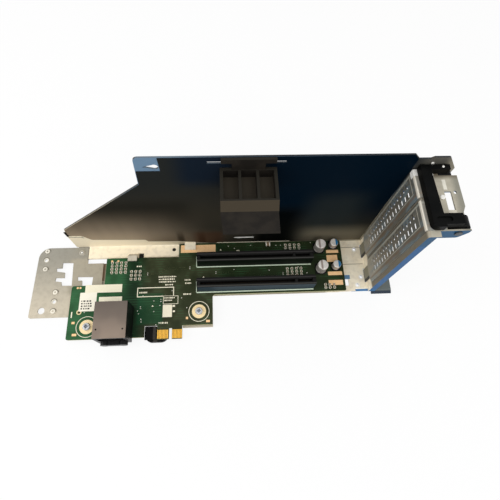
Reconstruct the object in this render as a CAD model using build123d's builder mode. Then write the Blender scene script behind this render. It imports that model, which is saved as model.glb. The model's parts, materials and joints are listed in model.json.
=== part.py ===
from build123d import *
import os

# Server riser: a folded steel cage that carries a riser board with two card slots.
# Origin: on the board's top face, in the far slot's card plane, at that slot's outer end.
# +X runs along the slots to the card bracket end, +Y to the rear wall, +Z up. Millimetres.

os.makedirs("parts", exist_ok=True)

# Board
board_t = 1.6
board_left = -93.6
board_right = 114.0
board_far = 15.4
board_near = -26.5
board_bottom = -56.8
board_left_r = 1.5
board_inner_r = 2.2
board_right_r = 1.0
corner_x = -69.7
corner_y = -16.8
step_x = -14.5
step_y = 4.6
tab_right = 11.2
tab_bottom = -49.0
tab_left = -11.1
finger_left = -29.2
finger_end = -58.6
finger_key_x = -19.5
finger_key_w = 2.2
finger_key_top = -50.7
finger_chamfer = 0.5
notch_left = -38.4
notch_top = -48.6
screw_points = [(1.1, -39.1), (-79.6, -47.8)]
screw_hole_d = 3.4
screw_d = 3.0
screw_head_d = 5.4
screw_head_h = 2.0
screw_head_r = 0.7
screw_recess = 2.8
screw_short = 0.4
tooling_hole = (-86.3, -36.9)
tooling_hole_d = 2.0

# Sheet metal
sheet = 1.0
bend = 1.2
rivet_hole_d = 3.0
rivet_d = 2.6
rivet_head_d = 4.6
rivet_head_h = 0.7
standoff_h = 2.4
standoff_d = 6.4
tray_top = -board_t - standoff_h
tray_lip = 1.2
tray_inset = 1.5
tray_right = 109.5
plate_top = tray_top + sheet
support_points = [(-60.0, -45.0), (-60.0, -1.5), (30.0, -11.0), (80.0, -23.0), (60.0, 12.0)]
support_d = 5.0

# Rear wall and its film
wall_in = 16.4
wall_left = -94.8
wall_low_h = 17.0
wall_low_rake = 1.9
wall_low_left_h = 28.5
wall_tab_x = -28.1
wall_tab_h = 88.0
wall_tab_rake = 2.3
wall_tab_r = 3.0
wall_top = 114.5
dip_z = 110.4
dip_left_back = 0.4
dip_left_run = 3.8
dip_w = 6.6
ear_top = 111.7
ear_rise = 1.6
ear_right = 156.6
ear_slant_x = 7.6
ear_slant_z = 10.7
ear_foot = 90.0
ear_corner_r = 2.0
flange_near = 6.2
flange_right = -14.9
flange_corner_r = 2.5
flange_hole = (-18.9, 12.2)
keyhole_x = 12.4
keyhole_z = 105.9
keyhole_d = 4.4
keyhole_tail = 6.8
film_t = 0.3
film_clear = 0.3
film_edge = 0.4
film_right = 130.8
film_tab_left = -13.0
film_tab_z = 102.0
film_notch = (-84.0, 18.2)
film_notch_low = (-79.0, 10.6)
film_step = (-39.5, 8.6)
film_step_low = (-37.5, 5.2)
film_fall = (-13.5, 4.4)
film_low = (12.0, -0.6)
film_notch_r = 3.5
film_slot = (36.5, 8.6)
film_slot_w = 16.0
film_slot_h = 2.6

# Hooks over the board
hook_z = 0.3
hook_left = -53.6
hook_w = 6.9
hook_tip = 2.0
hook_crank = 6.2
hook_foot = 9.2
hook_root = 1.3
hook_gap_w = 4.6
hook_gap_y = 9.8
far_hook_left = -10.1
far_hook_w = 8.5
far_hook_tip = 10.0

# Left plate: its points are counted from its left edge
plate_left = -123.6
plate_far = 15.8
plate_near = -39.4
plate_w = 50.9
plate_under_w = 35.6
plate_step = 4.0
plate_slant = 1.2
plate_corner_r = 8.5
plate_near_r = 1.5
joint_x = 38.6
joint_rivet = (33.4, 11.2)
window_y = 2.1
tee_cut = [
    (19.7, 3.4), (27.7, 3.2), (28.5, -15.3), (21.0, -15.1), (20.3, -12.2), (15.6, -11.5),
    (16.0, -8.7), (22.3, -8.9), (22.1, -4.7), (15.9, -3.7), (15.5, -1.1), (19.7, -1.0),
]
ell_cut = [(32.2, -8.4), (43.8, -8.7), (43.4, -15.8), (36.1, -15.6), (35.7, -11.5), (32.5, -11.4)]
ell_room = 0.8
locating_hole = (8.6, -34.1)
locating_d = 5.0
dimple_points = [(7.0, 13.0), (7.3, -1.7), (17.2, -20.3), (17.4, -34.8)]
pierced_points = [(6.8, 5.7), (17.1, -27.5)]
pierced_d = 2.4
dimple_r = 2.3
dimple_h = 0.7

# End bracket that carries the card brackets
end_x = 132.0
end_near = -27.0
end_far_gap = 0.2
end_base_left = 101.0
end_rivet_x = 105.5
end_rivet_near = -22.5
end_rivet_far = 13.2
base_near = -24.2
base_corner = -26.5
base_lip_left = 122.0
base_lip = 2.0
lip_t = 0.8
end_holes = [(125.8, 8.3), (128.0, -15.2), (124.3, -21.7)]
end_hole_d = 2.2
end_cut_left = 112.4
end_cut_right = 117.8
end_cut_near = -21.9
end_cut_far = -16.5
end_top = 100.4
end_return = 4.0
foot_left = 134.5
foot_right = 150.2
foot_far = -9.0
foot_near = -25.7
foot_lip = 3.0
card_plane_far = 0.0
slot_pitch = 20.32
cover_w = 18.42
cover_t = 0.86
cover_tongue_w = 10.19
cover_shift = 6.36
cover_taper_low = 6.5
cover_taper_z = 9.5
cover_tab = 11.4
cover_notch_x = 6.4
cover_notch_w = 4.4
cover_notch_len = 7.0
tongue_clear = 0.5
tongue_slot = 2.2
tongue_lift = 0.2
cover_bend = 0.8
window_w = 11.8
window_shift = -0.7
window_low = 8.0
window_high = 94.0
vent_rows = 15
vent_pitch = 4.95
vent_first_z = 20.5
vent_cols_pitch = 5.8
vent_cols_shift = 1.6
vent_w = 3.8
vent_h = 2.6

# Ledge and retention latch
ledge_right = 157.0
ledge_near = -22.5
ledge_cut = (149.0, -4.8)
ledge_cut_w = 4.1
ledge_cut_len = 11.7
ledge_hole = (153.4, 0.5)
ledge_hole_d = 2.0
ledge_edge_far = -8.5
ledge_edge_mid = -12.1
ledge_edge_in = 1.8
pivot_left = 139.4
pivot_h = 9.4
pivot_side = 3.0
pivot_slant = 3.7
pivot_corner_r = 2.5
hinge_x = 150.7
hinge_z = 97.6
hinge_pin_d = 2.4
hinge_hole_clear = 0.05
hinge_head_d = 4.2
hinge_head_t = 0.8
hinge_play = 0.1
latch_gap = 0.3
latch_left = 133.4
latch_bar_far_w = 5.6
latch_bar_w = 7.1
latch_grip_r = 3.2
latch_h = 4.6
latch_far = 15.6
latch_near = -23.4
arm_far_w = 3.2
arm_near_low = -21.9
arm_near_high = -15.4
eye_near_r = 6.6
eye_far_r = 4.2
arm_room = 0.6
recess_x = 6.6
recess_y = 3.0
recess_len = 9.0
recess_w = 3.0
recess_depth = 0.9

# Slot connectors
slot_len = 89.0
slot_w = 7.5
slot_h = 11.25
card_gap = 1.75
card_gap_depth = 8.2
card_gap_inset = 2.6
key_x = 74.1
key_w = 1.8
chamfer_w = 0.9
housing_corner = 0.6

# Board edge receptacle
rec_left = -69.3
rec_w = 22.6
rec_near = -60.0
rec_len = 25.6
rec_h = 19.0
rec_wall = 2.2
rec_top_r = 0.5
rec_mouth_depth = 12.0
rec_mouth_z = 12.6
rec_mouth_h = 8.6
rec_pin = 0.6
rec_pin_pitch = 2.0
rec_pin_rows = 6.4
rec_pin_len = 9.0
rec_boss_r = 3.0
rec_boss_len = 2.4
rec_boss_z = 3.6
rec_boss_in = 4.8
rec_bridge_w = 8.0
rec_bridge_h = 4.4
rec_dot_d = 1.2
rec_dot_in = 2.4
rec_dot_y = 6.2

# Guide block under the finger notch
guide_w = 16.6
guide_near = -60.2
guide_far = -49.2
guide_clear = 0.4
guide_nose_r = 5.2
guide_rib_top = 0.6
guide_rib_r = 1.2
guide_rib_back = 1.6

# Capacitors
can_far = (95.9, 8.7)
can_near = (95.9, -8.7)
can_d = 8.0
can_h = 9.4
small_far = (107.5, 11.0)
small_near = (107.7, -7.1)
small_d = 6.3
small_h = 5.9
can_base_h = 1.1
can_base_over = 0.3
can_groove = 0.35
can_groove_z = 1.0
can_groove_h = 0.8

# Chip components: x, y, pitch along x and y, count along x and y
chip_len = 1.9
chip_w = 1.1
chip_h = 0.8
chip_before_end = 14.0
chip_after_end = 12.6
chip_rows = [
    (-60.0, -3.0, 3.4, 2.6, 4, 4),
    (-47.0, -9.5, 3.2, 3.0, 3, 3),
    (slot_len - chip_before_end, 9.8, 3.6, 2.6, 4, 3),
    (slot_len - chip_before_end, -10.2, 3.6, 2.6, 4, 3),
    (slot_len + chip_after_end, -22.6, 3.4, 2.4, 3, 2),
]
chip_block = (55.6, 13.2)
chip_block_w = 3.4
chip_block_len = 3.2
chip_block_h = 1.6

# Card support snapped into the wall's two slots
sup_left = 20.0
sup_w = 32.0
sup_flare_left = 0.9
sup_flare_right = 2.4
sup_top = 105.0
sup_nose_y = -4.8
sup_nose_r = 1.5
sup_brow_y = 4.2
sup_brow_z = 5.0
sup_low_y = -14.5
sup_low_z = 82.5
sup_wall = 2.0
sup_front_wall = 1.0
sup_pocket_w = 8.4
sup_pocket_pitch = 10.0
sup_pocket_depth = 7.0
sup_tab_w = 30.4
sup_tab_neck = 18.6
sup_tab_t = 1.6
sup_tab_gap = 0.2
sup_tab_low = 4.0
sup_slot_z = 109.5
sup_slot_h = 2.0
sup_slot_left_w = 16.8
sup_slot_right_w = 15.1
sup_slot_under = 3.4
snap_w = 2.6
snap_clear = 0.2
snap_t = 1.2
snap_up = 0.9

tray_bottom = tray_top - sheet
wall_out = wall_in + sheet
film_in = wall_in - film_t
near_plane = card_plane_far - slot_pitch
cover_centres = [card_plane_far + cover_shift, near_plane + cover_shift]
cover_in = end_x - cover_t
end_out = end_x + sheet
latch_low = end_top + cover_t + latch_gap
latch_top = latch_low + latch_h
latch_right = latch_left + latch_bar_w
dip_left = end_x - dip_left_back
plate_right = plate_left + plate_w
plate_under = plate_left + plate_under_w
flange_left = plate_left + joint_x
neck_left = sup_left + (sup_w - sup_tab_neck) / 2
neck_right = neck_left + sup_tab_neck
rivet_points = [
    (plate_left + joint_rivet[0], joint_rivet[1]),
    (end_rivet_x, end_rivet_near),
    (end_rivet_x, end_rivet_far),
]
# each slot for the card support: its middle and its width
sup_slots = [
    (neck_left + sup_slot_under - sup_slot_left_w / 2, sup_slot_left_w),
    (neck_right - sup_slot_under + sup_slot_right_w / 2, sup_slot_right_w),
]


def write(node, label):
    node.part.label = label
    export_step(node.part, f"parts/{label}.step")


def corners(sketch, points, radius):
    """Round the sketch's corners that lie at the given points."""
    picked = []
    for x, y in points:
        picked.append(sketch.vertices().sort_by_distance((x, y, 0))[0])
    fillet(picked, radius=radius)


# Riser board with its finger tongue, guide notch and screw tab
with BuildPart() as riser_board:
    with BuildSketch(Plane.XY.offset(-board_t)) as outline:
        with BuildLine():
            Polyline(
                (board_left, board_bottom),
                (notch_left, board_bottom),
                (notch_left, notch_top),
                (finger_left, notch_top),
                (finger_left, finger_end),
                (tab_left, finger_end),
                (tab_left, tab_bottom),
                (tab_right, tab_bottom),
                (tab_right, board_near),
                (board_right, board_near),
                (board_right, board_far),
                (step_x, board_far),
                (step_x, step_y),
                (corner_x, step_y),
                (corner_x, corner_y),
                (board_left, corner_y),
                close=True,
            )
        make_face()
        corners(outline, [(board_left, corner_y), (board_left, board_bottom)], board_left_r)
        corners(outline, [(tab_right, board_near)], board_inner_r)
        corners(outline, [(board_right, board_near), (board_right, board_far)], board_right_r)
        finger_key_h = finger_key_top - finger_end
        with Locations((finger_key_x, finger_end)):
            Rectangle(finger_key_w, 2 * finger_key_h, mode=Mode.SUBTRACT)
        with Locations(screw_points):
            Circle(screw_hole_d / 2, mode=Mode.SUBTRACT)
        with Locations(tooling_hole):
            Circle(tooling_hole_d / 2, mode=Mode.SUBTRACT)
    extrude(amount=board_t)
    finger_edges = riser_board.edges().filter_by(Axis.X).group_by(Axis.Y)[0]
    chamfer(finger_edges, length=finger_chamfer)
write(riser_board, "riser_board")

# Base tray under the board: standoffs, rests and holes for screws and rivets
with BuildPart() as base_tray:
    with BuildSketch(Plane.XY.offset(tray_bottom)):
        with BuildLine():
            Polyline(
                (board_left, board_bottom + tray_inset),
                (notch_left - tray_lip, board_bottom + tray_inset),
                (notch_left - tray_lip, notch_top + tray_lip),
                (tab_left, notch_top + tray_lip),
                (tab_left, tab_bottom - tray_lip),
                (tab_right, tab_bottom - tray_lip),
                (tab_right, board_near),
                (tray_right, board_near),
                (tray_right, wall_out),
                (board_left, wall_out),
                close=True,
            )
        make_face()
        window_right = corner_x + ell_room
        with Locations((flange_left - ell_room, window_y)):
            room = window_right - flange_left + ell_room
            height = flange_near - window_y
            Rectangle(room, height, align=(Align.MIN, Align.MIN), mode=Mode.SUBTRACT)
        ell_left = plate_left + ell_cut[0][0] - ell_room
        ell_near = ell_cut[2][1] - ell_room
        with Locations((ell_left, ell_near)):
            room = plate_left + ell_cut[1][0] + ell_room - ell_left
            height = ell_cut[0][1] + ell_room - ell_near
            Rectangle(room, height, align=(Align.MIN, Align.MIN), mode=Mode.SUBTRACT)
        with Locations(rivet_points):
            Circle(rivet_hole_d / 2, mode=Mode.SUBTRACT)
    extrude(amount=sheet)
    with BuildSketch(Plane.XY.offset(tray_top)):
        with Locations(screw_points):
            Circle(standoff_d / 2)
        with Locations(support_points):
            Circle(support_d / 2)
    extrude(amount=standoff_h)
    with BuildSketch(Plane.XY.offset(tray_bottom)):
        with Locations(screw_points):
            Circle(screw_hole_d / 2)
    extrude(amount=sheet + standoff_h, mode=Mode.SUBTRACT)
write(base_tray, "base_tray")

# Left plate: cut-outs, pressed dimples and a locating hole
with BuildPart() as side_plate:
    with BuildSketch(Plane.XY.offset(tray_top)) as plate:
        with BuildLine():
            Polyline(
                (plate_left, plate_near),
                (plate_under, plate_near),
                (plate_under, corner_y - plate_step),
                (plate_right, corner_y - plate_step),
                (plate_right, window_y),
                (flange_left, window_y),
                (flange_left, plate_far),
                (plate_left + plate_slant, plate_far),
                close=True,
            )
        make_face()
        corners(plate, [(plate_left + plate_slant, plate_far)], plate_corner_r)
        corners(plate, [(plate_left, plate_near)], plate_near_r)
        for cut in (tee_cut, ell_cut):
            with BuildLine():
                Polyline([(plate_left + x, y) for x, y in cut], close=True)
            make_face(mode=Mode.SUBTRACT)
        with Locations((plate_left + locating_hole[0], locating_hole[1])):
            Circle(locating_d / 2, mode=Mode.SUBTRACT)
        for x, y in pierced_points:
            with Locations((plate_left + x, y)):
                Circle(pierced_d / 2, mode=Mode.SUBTRACT)
        with Locations(rivet_points[0]):
            Circle(rivet_hole_d / 2, mode=Mode.SUBTRACT)
    extrude(amount=sheet)
    for x, y in dimple_points:
        with BuildSketch(Plane.XY.offset(plate_top)):
            with Locations((plate_left + x, y)):
                Circle(dimple_r)
        extrude(amount=dimple_h, taper=45)
        with BuildSketch(Plane.XY.offset(tray_top)):
            with Locations((plate_left + x, y)):
                Circle(dimple_r)
        extrude(amount=dimple_h, taper=45, mode=Mode.SUBTRACT)
write(side_plate, "side_plate")

# Rear wall: foot flange with hooks, raked left edge, keyhole tab and hinge ear
with BuildPart() as rear_wall:
    with BuildSketch(Plane.YZ.offset(wall_left)) as section:
        with BuildLine():
            Polyline(
                (flange_near, tray_top),
                (wall_out, tray_top),
                (wall_out, wall_top),
                (wall_in, wall_top),
                (wall_in, plate_top),
                (flange_near, plate_top),
                close=True,
            )
        make_face()
        corners(section, [(wall_in, plate_top)], bend)
        corners(section, [(wall_out, tray_top)], bend + sheet)
    extrude(amount=ear_right - wall_left)
    with BuildSketch(Plane.XZ.offset(-wall_out)) as face:
        with BuildLine():
            Polyline(
                (wall_left, tray_top),
                (wall_left, wall_low_h),
                (wall_left + wall_low_rake, wall_low_left_h),
                (wall_tab_x, wall_tab_h),
                (wall_tab_x + wall_tab_rake, wall_top),
                (dip_left - dip_left_run, wall_top),
                (dip_left, dip_z),
                (dip_left + dip_w, dip_z),
                (dip_left + dip_w + ear_rise, ear_top),
                (ear_right - ear_slant_x, ear_top),
                (ear_right, ear_top - ear_slant_z),
                (ear_right, ear_foot),
                (end_out + end_far_gap, ear_foot),
                (end_out + end_far_gap, tray_top),
                close=True,
            )
        make_face()
        corners(face, [(wall_tab_x + wall_tab_rake, wall_top)], wall_tab_r)
        corners(face, [(ear_right - ear_slant_x, ear_top), (ear_right, ear_foot)], ear_corner_r)
        with Locations((hinge_x, hinge_z)):
            Circle(hinge_pin_d / 2 + hinge_hole_clear, mode=Mode.SUBTRACT)
    extrude(amount=wall_out - flange_near, mode=Mode.INTERSECT)
    # keyhole in the bare tab: a round entry and a pointed tail
    with BuildSketch(Plane.XZ.offset(-wall_out)):
        with Locations((wall_tab_x + keyhole_x, keyhole_z)):
            Circle(keyhole_d / 2)
        with BuildLine():
            Polyline(
                (wall_tab_x + keyhole_x, keyhole_z - keyhole_d / 2),
                (wall_tab_x + keyhole_x, keyhole_z + keyhole_d / 2),
                (wall_tab_x + keyhole_x - keyhole_tail, keyhole_z),
                close=True,
            )
        make_face()
    extrude(amount=sheet, mode=Mode.SUBTRACT)
    # two slots for the card support's snap lugs
    with BuildSketch(Plane.XZ.offset(-wall_out)):
        for middle, width in sup_slots:
            with Locations((middle, sup_slot_z)):
                Rectangle(width, sup_slot_h)
    extrude(amount=sheet, mode=Mode.SUBTRACT)
    # the foot flange runs from the left plate's joint to the board's step
    flange_w = wall_in - flange_near + sheet
    with BuildSketch(Plane.XY.offset(tray_top)):
        with Locations((flange_right, flange_near - sheet)):
            Rectangle(ear_right - flange_right, flange_w, align=(Align.MIN, Align.MIN))
        with Locations((flange_left, flange_near - sheet)):
            Rectangle(flange_left - plate_left, flange_w, align=(Align.MAX, Align.MIN))
        with Locations(flange_hole):
            Circle(rivet_hole_d / 2)
        with Locations((hook_left + hook_w, flange_near - sheet)):
            gap_len = hook_gap_y - flange_near + sheet
            Rectangle(hook_gap_w, gap_len, align=(Align.MIN, Align.MIN))
    extrude(amount=standoff_h + sheet, mode=Mode.SUBTRACT)
    uprights = rear_wall.edges().filter_by(Axis.Z)
    flange_corner = uprights.sort_by_distance((flange_right, flange_near, plate_top))
    fillet(flange_corner[0], radius=flange_corner_r)
    # hook over the board's stepped edge, cranked up from the flange
    with BuildSketch(Plane.YZ.offset(hook_left)):
        with BuildLine():
            Polyline(
                (hook_foot, plate_top),
                (hook_crank, hook_z + sheet),
                (hook_tip, hook_z + sheet),
                (hook_tip, hook_z),
                (hook_crank - sheet / 2, hook_z),
                (hook_foot - hook_root, plate_top - sheet / 5),
                close=True,
            )
        make_face()
    extrude(amount=hook_w)
    # hook over the board's far edge, lanced out of the wall's foot
    with BuildSketch(Plane.YZ.offset(far_hook_left)):
        with Locations((far_hook_tip, hook_z)):
            Rectangle(wall_in + sheet / 2 - far_hook_tip, sheet, align=(Align.MIN, Align.MIN))
    extrude(amount=far_hook_w)
write(rear_wall, "rear_wall")

# Black insulating film on the wall's inner face
with BuildPart() as insulator_film:
    with BuildSketch(Plane.XZ.offset(-wall_in)) as film:
        with BuildLine():
            Polyline(
                (wall_left + film_edge, film_notch[1]),
                (wall_left + wall_low_rake + film_edge, wall_low_left_h),
                (wall_tab_x + film_edge, wall_tab_h),
                (wall_tab_x + film_edge + wall_tab_rake / 2, film_tab_z),
                (film_tab_left, film_tab_z),
                (film_tab_left, wall_top - film_clear),
                (dip_left - dip_left_run - film_clear, wall_top - film_clear),
                (film_right, dip_z),
                (film_right, film_low[1]),
                film_low,
                film_fall,
                film_step_low,
                film_step,
                film_notch_low,
                film_notch,
                close=True,
            )
        make_face()
        corners(film, [film_notch, film_notch_low], film_notch_r)
        for middle, width in sup_slots:
            with Locations((middle, sup_slot_z)):
                Rectangle(width + film_clear, sup_slot_h + film_clear, mode=Mode.SUBTRACT)
        with Locations(film_slot):
            SlotOverall(film_slot_w, film_slot_h, mode=Mode.SUBTRACT)
    extrude(amount=film_t)
write(insulator_film, "insulator_film")

# End bracket: base plate, card bracket wall, ledge with latch pivot flange, foot
tongue_slot_w = cover_tongue_w + 2 * tongue_clear
with BuildPart() as end_bracket:
    with BuildSketch(Plane.XZ.offset(end_far_gap - wall_in)) as profile:
        with BuildLine():
            Polyline(
                (end_base_left, tray_top),
                (foot_right, tray_top),
                (foot_right, plate_top),
                (end_out, plate_top),
                (end_out, end_top - sheet),
                (ledge_right, end_top - sheet),
                (ledge_right, end_top),
                (end_x, end_top),
                (end_x, plate_top),
                (end_base_left, plate_top),
                close=True,
            )
        make_face()
        corners(profile, [(end_x, end_top)], bend)
    extrude(amount=wall_in - end_far_gap - end_near)
    # base outline: straight beside the board, set back over the lip, a foot outside
    with BuildSketch(Plane.XY.offset(tray_top)):
        with Locations((end_out, wall_in)):
            Rectangle(foot_right - end_out, wall_in - foot_far, align=(Align.MIN, Align.MAX))
        with Locations((end_base_left, end_near)):
            low_w = base_lip_left - end_base_left
            Rectangle(low_w, base_corner - end_near, align=(Align.MIN, Align.MIN))
        with Locations((base_lip_left, end_near)):
            lip_w = foot_left - base_lip_left
            Rectangle(lip_w, base_near - end_near, align=(Align.MIN, Align.MIN))
        with Locations((foot_left, end_near)):
            foot_w = foot_right - foot_left
            Rectangle(foot_w, foot_near - end_near, align=(Align.MIN, Align.MIN))
    extrude(amount=sheet, mode=Mode.SUBTRACT)
    # slots for the card brackets' tongues, round holes and the cut-out beside the board
    with BuildSketch(Plane.XY.offset(tray_top)):
        for centre in cover_centres:
            with Locations((cover_in + cover_t / 2, centre)):
                Rectangle(tongue_slot, tongue_slot_w)
        with Locations((end_cut_left, end_cut_near)):
            cut_w = end_cut_right - end_cut_left
            Rectangle(cut_w, end_cut_far - end_cut_near, align=(Align.MIN, Align.MIN))
        with Locations(rivet_points[1:]):
            Circle(rivet_hole_d / 2)
        with Locations(end_holes):
            Circle(end_hole_d / 2)
    extrude(amount=sheet, mode=Mode.SUBTRACT)
    # windows that the card brackets close
    with BuildSketch(Plane.YZ.offset(end_x)):
        for centre in cover_centres:
            with Locations((centre + window_shift, (window_low + window_high) / 2)):
                Rectangle(window_w, window_high - window_low)
    extrude(amount=sheet, mode=Mode.SUBTRACT)
    # ledge outline: room for the latch arms, a lightening hole and the edge notch
    far_room_y = latch_far - arm_far_w - arm_room
    near_room_y = arm_near_high + arm_room
    far_room_x = hinge_x - eye_far_r - arm_room
    near_room_x = hinge_x - eye_near_r - arm_room
    with BuildSketch(Plane.XY.offset(end_top - sheet)):
        with Locations(ledge_cut):
            Rectangle(ledge_cut_w, ledge_cut_len)
        with Locations((far_room_x, far_room_y)):
            room = ledge_right - far_room_x
            Rectangle(room, wall_in - far_room_y, align=(Align.MIN, Align.MIN))
        with Locations((near_room_x, ledge_near)):
            room = ledge_right - near_room_x
            Rectangle(room, near_room_y - ledge_near, align=(Align.MIN, Align.MIN))
        with Locations((pivot_left, end_near)):
            room = ledge_right - pivot_left
            Rectangle(room, ledge_near - end_near, align=(Align.MIN, Align.MIN))
        with BuildLine():
            Polyline(
                (ledge_right, ledge_edge_far),
                (ledge_right - ledge_edge_in, ledge_edge_mid),
                (ledge_right - ledge_edge_in, near_room_y),
                (ledge_right, near_room_y),
                close=True,
            )
        make_face()
        with Locations(ledge_hole):
            Circle(ledge_hole_d / 2)
    extrude(amount=sheet, mode=Mode.SUBTRACT)
    # pivot flange turned down at the ledge's near end
    pivot_low = end_top - pivot_h
    pivot_right = ledge_right - pivot_slant
    pivot_in = pivot_left + pivot_slant / 2
    with BuildSketch(Plane.XZ.offset(-ledge_near)) as flange:
        with BuildLine():
            Polyline(
                (pivot_left, end_top),
                (ledge_right, end_top),
                (ledge_right, end_top - pivot_side),
                (pivot_right, pivot_low),
                (pivot_in, pivot_low),
                (pivot_left, end_top - pivot_side),
                close=True,
            )
        make_face()
        corners(flange, [(pivot_right, pivot_low), (pivot_in, pivot_low)], pivot_corner_r)
        with Locations((hinge_x, hinge_z)):
            Circle(hinge_pin_d / 2 + hinge_hole_clear, mode=Mode.SUBTRACT)
    extrude(amount=sheet)
    # stiffening return along the wall's near edge
    with BuildSketch(Plane.XY.offset(plate_top)):
        with Locations((end_out, end_near)):
            Rectangle(end_return, sheet, align=(Align.MIN, Align.MIN))
    extrude(amount=end_top - sheet - plate_top)
    # slanted lips below the base's and the foot's near edges
    lips = [
        (base_lip_left, end_out + sheet, base_near, base_lip),
        (foot_left, foot_right, foot_near, foot_lip),
    ]
    for left, right, near, reach in lips:
        with BuildSketch(Plane.YZ.offset(left)):
            with BuildLine():
                Polyline(
                    (near, plate_top),
                    (near - reach, tray_bottom + lip_t),
                    (near - reach, tray_bottom),
                    (near - reach + lip_t, tray_bottom),
                    (near, tray_top),
                    close=True,
                )
            make_face()
        extrude(amount=right - left)
write(end_bracket, "end_bracket")


def slot_cover(centre):
    """A vented card bracket: body, tapered tongue, outward tab with its screw notch."""
    with BuildPart() as cover:
        with BuildSketch(Plane.YZ.offset(cover_in)):
            with BuildLine():
                Polyline(
                    (centre - cover_tongue_w / 2, tray_bottom + tongue_lift),
                    (centre - cover_tongue_w / 2, cover_taper_low),
                    (centre - cover_w / 2, cover_taper_z),
                    (centre - cover_w / 2, end_top + cover_t),
                    (centre + cover_w / 2, end_top + cover_t),
                    (centre + cover_w / 2, cover_taper_z),
                    (centre + cover_tongue_w / 2, cover_taper_low),
                    (centre + cover_tongue_w / 2, tray_bottom + tongue_lift),
                    close=True,
                )
            make_face()
            vents_z = vent_first_z + (vent_rows - 1) * vent_pitch / 2
            with Locations((centre + vent_cols_shift, vents_z)):
                with GridLocations(vent_cols_pitch, vent_pitch, 2, vent_rows):
                    Rectangle(vent_w, vent_h, mode=Mode.SUBTRACT)
        extrude(amount=cover_t)
        with BuildSketch(Plane.XY.offset(end_top)):
            with Locations((cover_in, centre)):
                Rectangle(cover_tab, cover_w, align=(Align.MIN, Align.CENTER))
            with Locations((end_x + cover_notch_x, centre - cover_w / 2)):
                SlotOverall(cover_notch_len, cover_notch_w, rotation=90, mode=Mode.SUBTRACT)
        extrude(amount=cover_t)
        top_rim = (cover_in, centre, end_top + cover_t)
        rim = cover.edges().filter_by(Axis.Y).sort_by_distance(top_rim)
        fillet(rim[0], radius=cover_bend)
    return cover


write(slot_cover(cover_centres[0]), "slot_cover_far")
write(slot_cover(cover_centres[1]), "slot_cover_near")


def slot_connector(plane_y):
    """A card edge connector: housing with a lead-in, card gap, key web and peg feet."""
    with BuildPart() as housing:
        with BuildSketch(Plane.XY):
            with Locations((slot_len / 2, plane_y)):
                Rectangle(slot_len, slot_w)
        extrude(amount=slot_h)
        chamfer(housing.edges().filter_by(Axis.Z), length=housing_corner)
        gap_right = slot_len - card_gap_inset
        spans = [(card_gap_inset, key_x - key_w / 2), (key_x + key_w / 2, gap_right)]
        with BuildSketch(Plane.XY.offset(slot_h)):
            for low, high in spans:
                with Locations(((low + high) / 2, plane_y)):
                    Rectangle(high - low, card_gap)
        extrude(amount=-card_gap_depth, mode=Mode.SUBTRACT)
        # sloped lead-in along both sides of the gap
        with BuildSketch(Plane.YZ.offset(card_gap_inset)):
            with BuildLine():
                Polyline(
                    (plane_y - card_gap / 2 - chamfer_w, slot_h),
                    (plane_y - card_gap / 2, slot_h - chamfer_w),
                    (plane_y + card_gap / 2, slot_h - chamfer_w),
                    (plane_y + card_gap / 2 + chamfer_w, slot_h),
                    close=True,
                )
            make_face()
        extrude(amount=gap_right - card_gap_inset, mode=Mode.SUBTRACT)
        # key web stands back up to the lead-in
        with BuildSketch(Plane.XY.offset(slot_h - chamfer_w)):
            with Locations((key_x, plane_y)):
                Rectangle(key_w, card_gap + 2 * chamfer_w)
        extrude(amount=chamfer_w)
    return housing


write(slot_connector(card_plane_far), "slot_connector_far")
write(slot_connector(near_plane), "slot_connector_near")

# Right-angle receptacle that mates past the board's bottom edge
rec_mid = rec_left + rec_w / 2
with BuildPart() as edge_receptacle:
    with BuildSketch(Plane.XY):
        with Locations((rec_mid, rec_near + rec_len / 2)):
            Rectangle(rec_w, rec_len)
    extrude(amount=rec_h)
    top_edges = edge_receptacle.edges().filter_by(Axis.Y).group_by(Axis.Z)[-1]
    fillet(top_edges, radius=rec_top_r)
    with BuildSketch(Plane.XZ.offset(-rec_near)):
        with Locations((rec_mid, rec_mouth_z)):
            Rectangle(rec_w - 2 * rec_wall, rec_mouth_h)
    extrude(amount=-rec_mouth_depth, mode=Mode.SUBTRACT)
    with BuildSketch(Plane.XZ.offset(-rec_near)):
        with Locations((rec_mid, rec_boss_z)):
            with GridLocations(rec_w - 2 * rec_boss_in, 1, 2, 1):
                Circle(rec_boss_r)
            Rectangle(rec_bridge_w, rec_bridge_h)
    extrude(amount=rec_boss_len)
    with BuildSketch(Plane.XY.offset(rec_h)):
        with Locations((rec_mid, rec_near + rec_dot_y)):
            with GridLocations(rec_w - 2 * rec_dot_in, 1, 2, 1):
                Circle(rec_dot_d / 2)
    extrude(amount=-rec_dot_d, mode=Mode.SUBTRACT)
    split(bisect_by=Plane.XY)
write(edge_receptacle, "edge_receptacle")

# Two rows of square contact pins on the receptacle's back wall
with BuildPart() as receptacle_pins:
    with BuildSketch(Plane.XZ.offset(-rec_near - rec_mouth_depth)):
        with Locations((rec_mid, rec_mouth_z)):
            with GridLocations(rec_pin_pitch, rec_pin_rows, 8, 2):
                Rectangle(rec_pin, rec_pin)
    extrude(amount=rec_pin_len)
write(receptacle_pins, "receptacle_pins")

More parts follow.
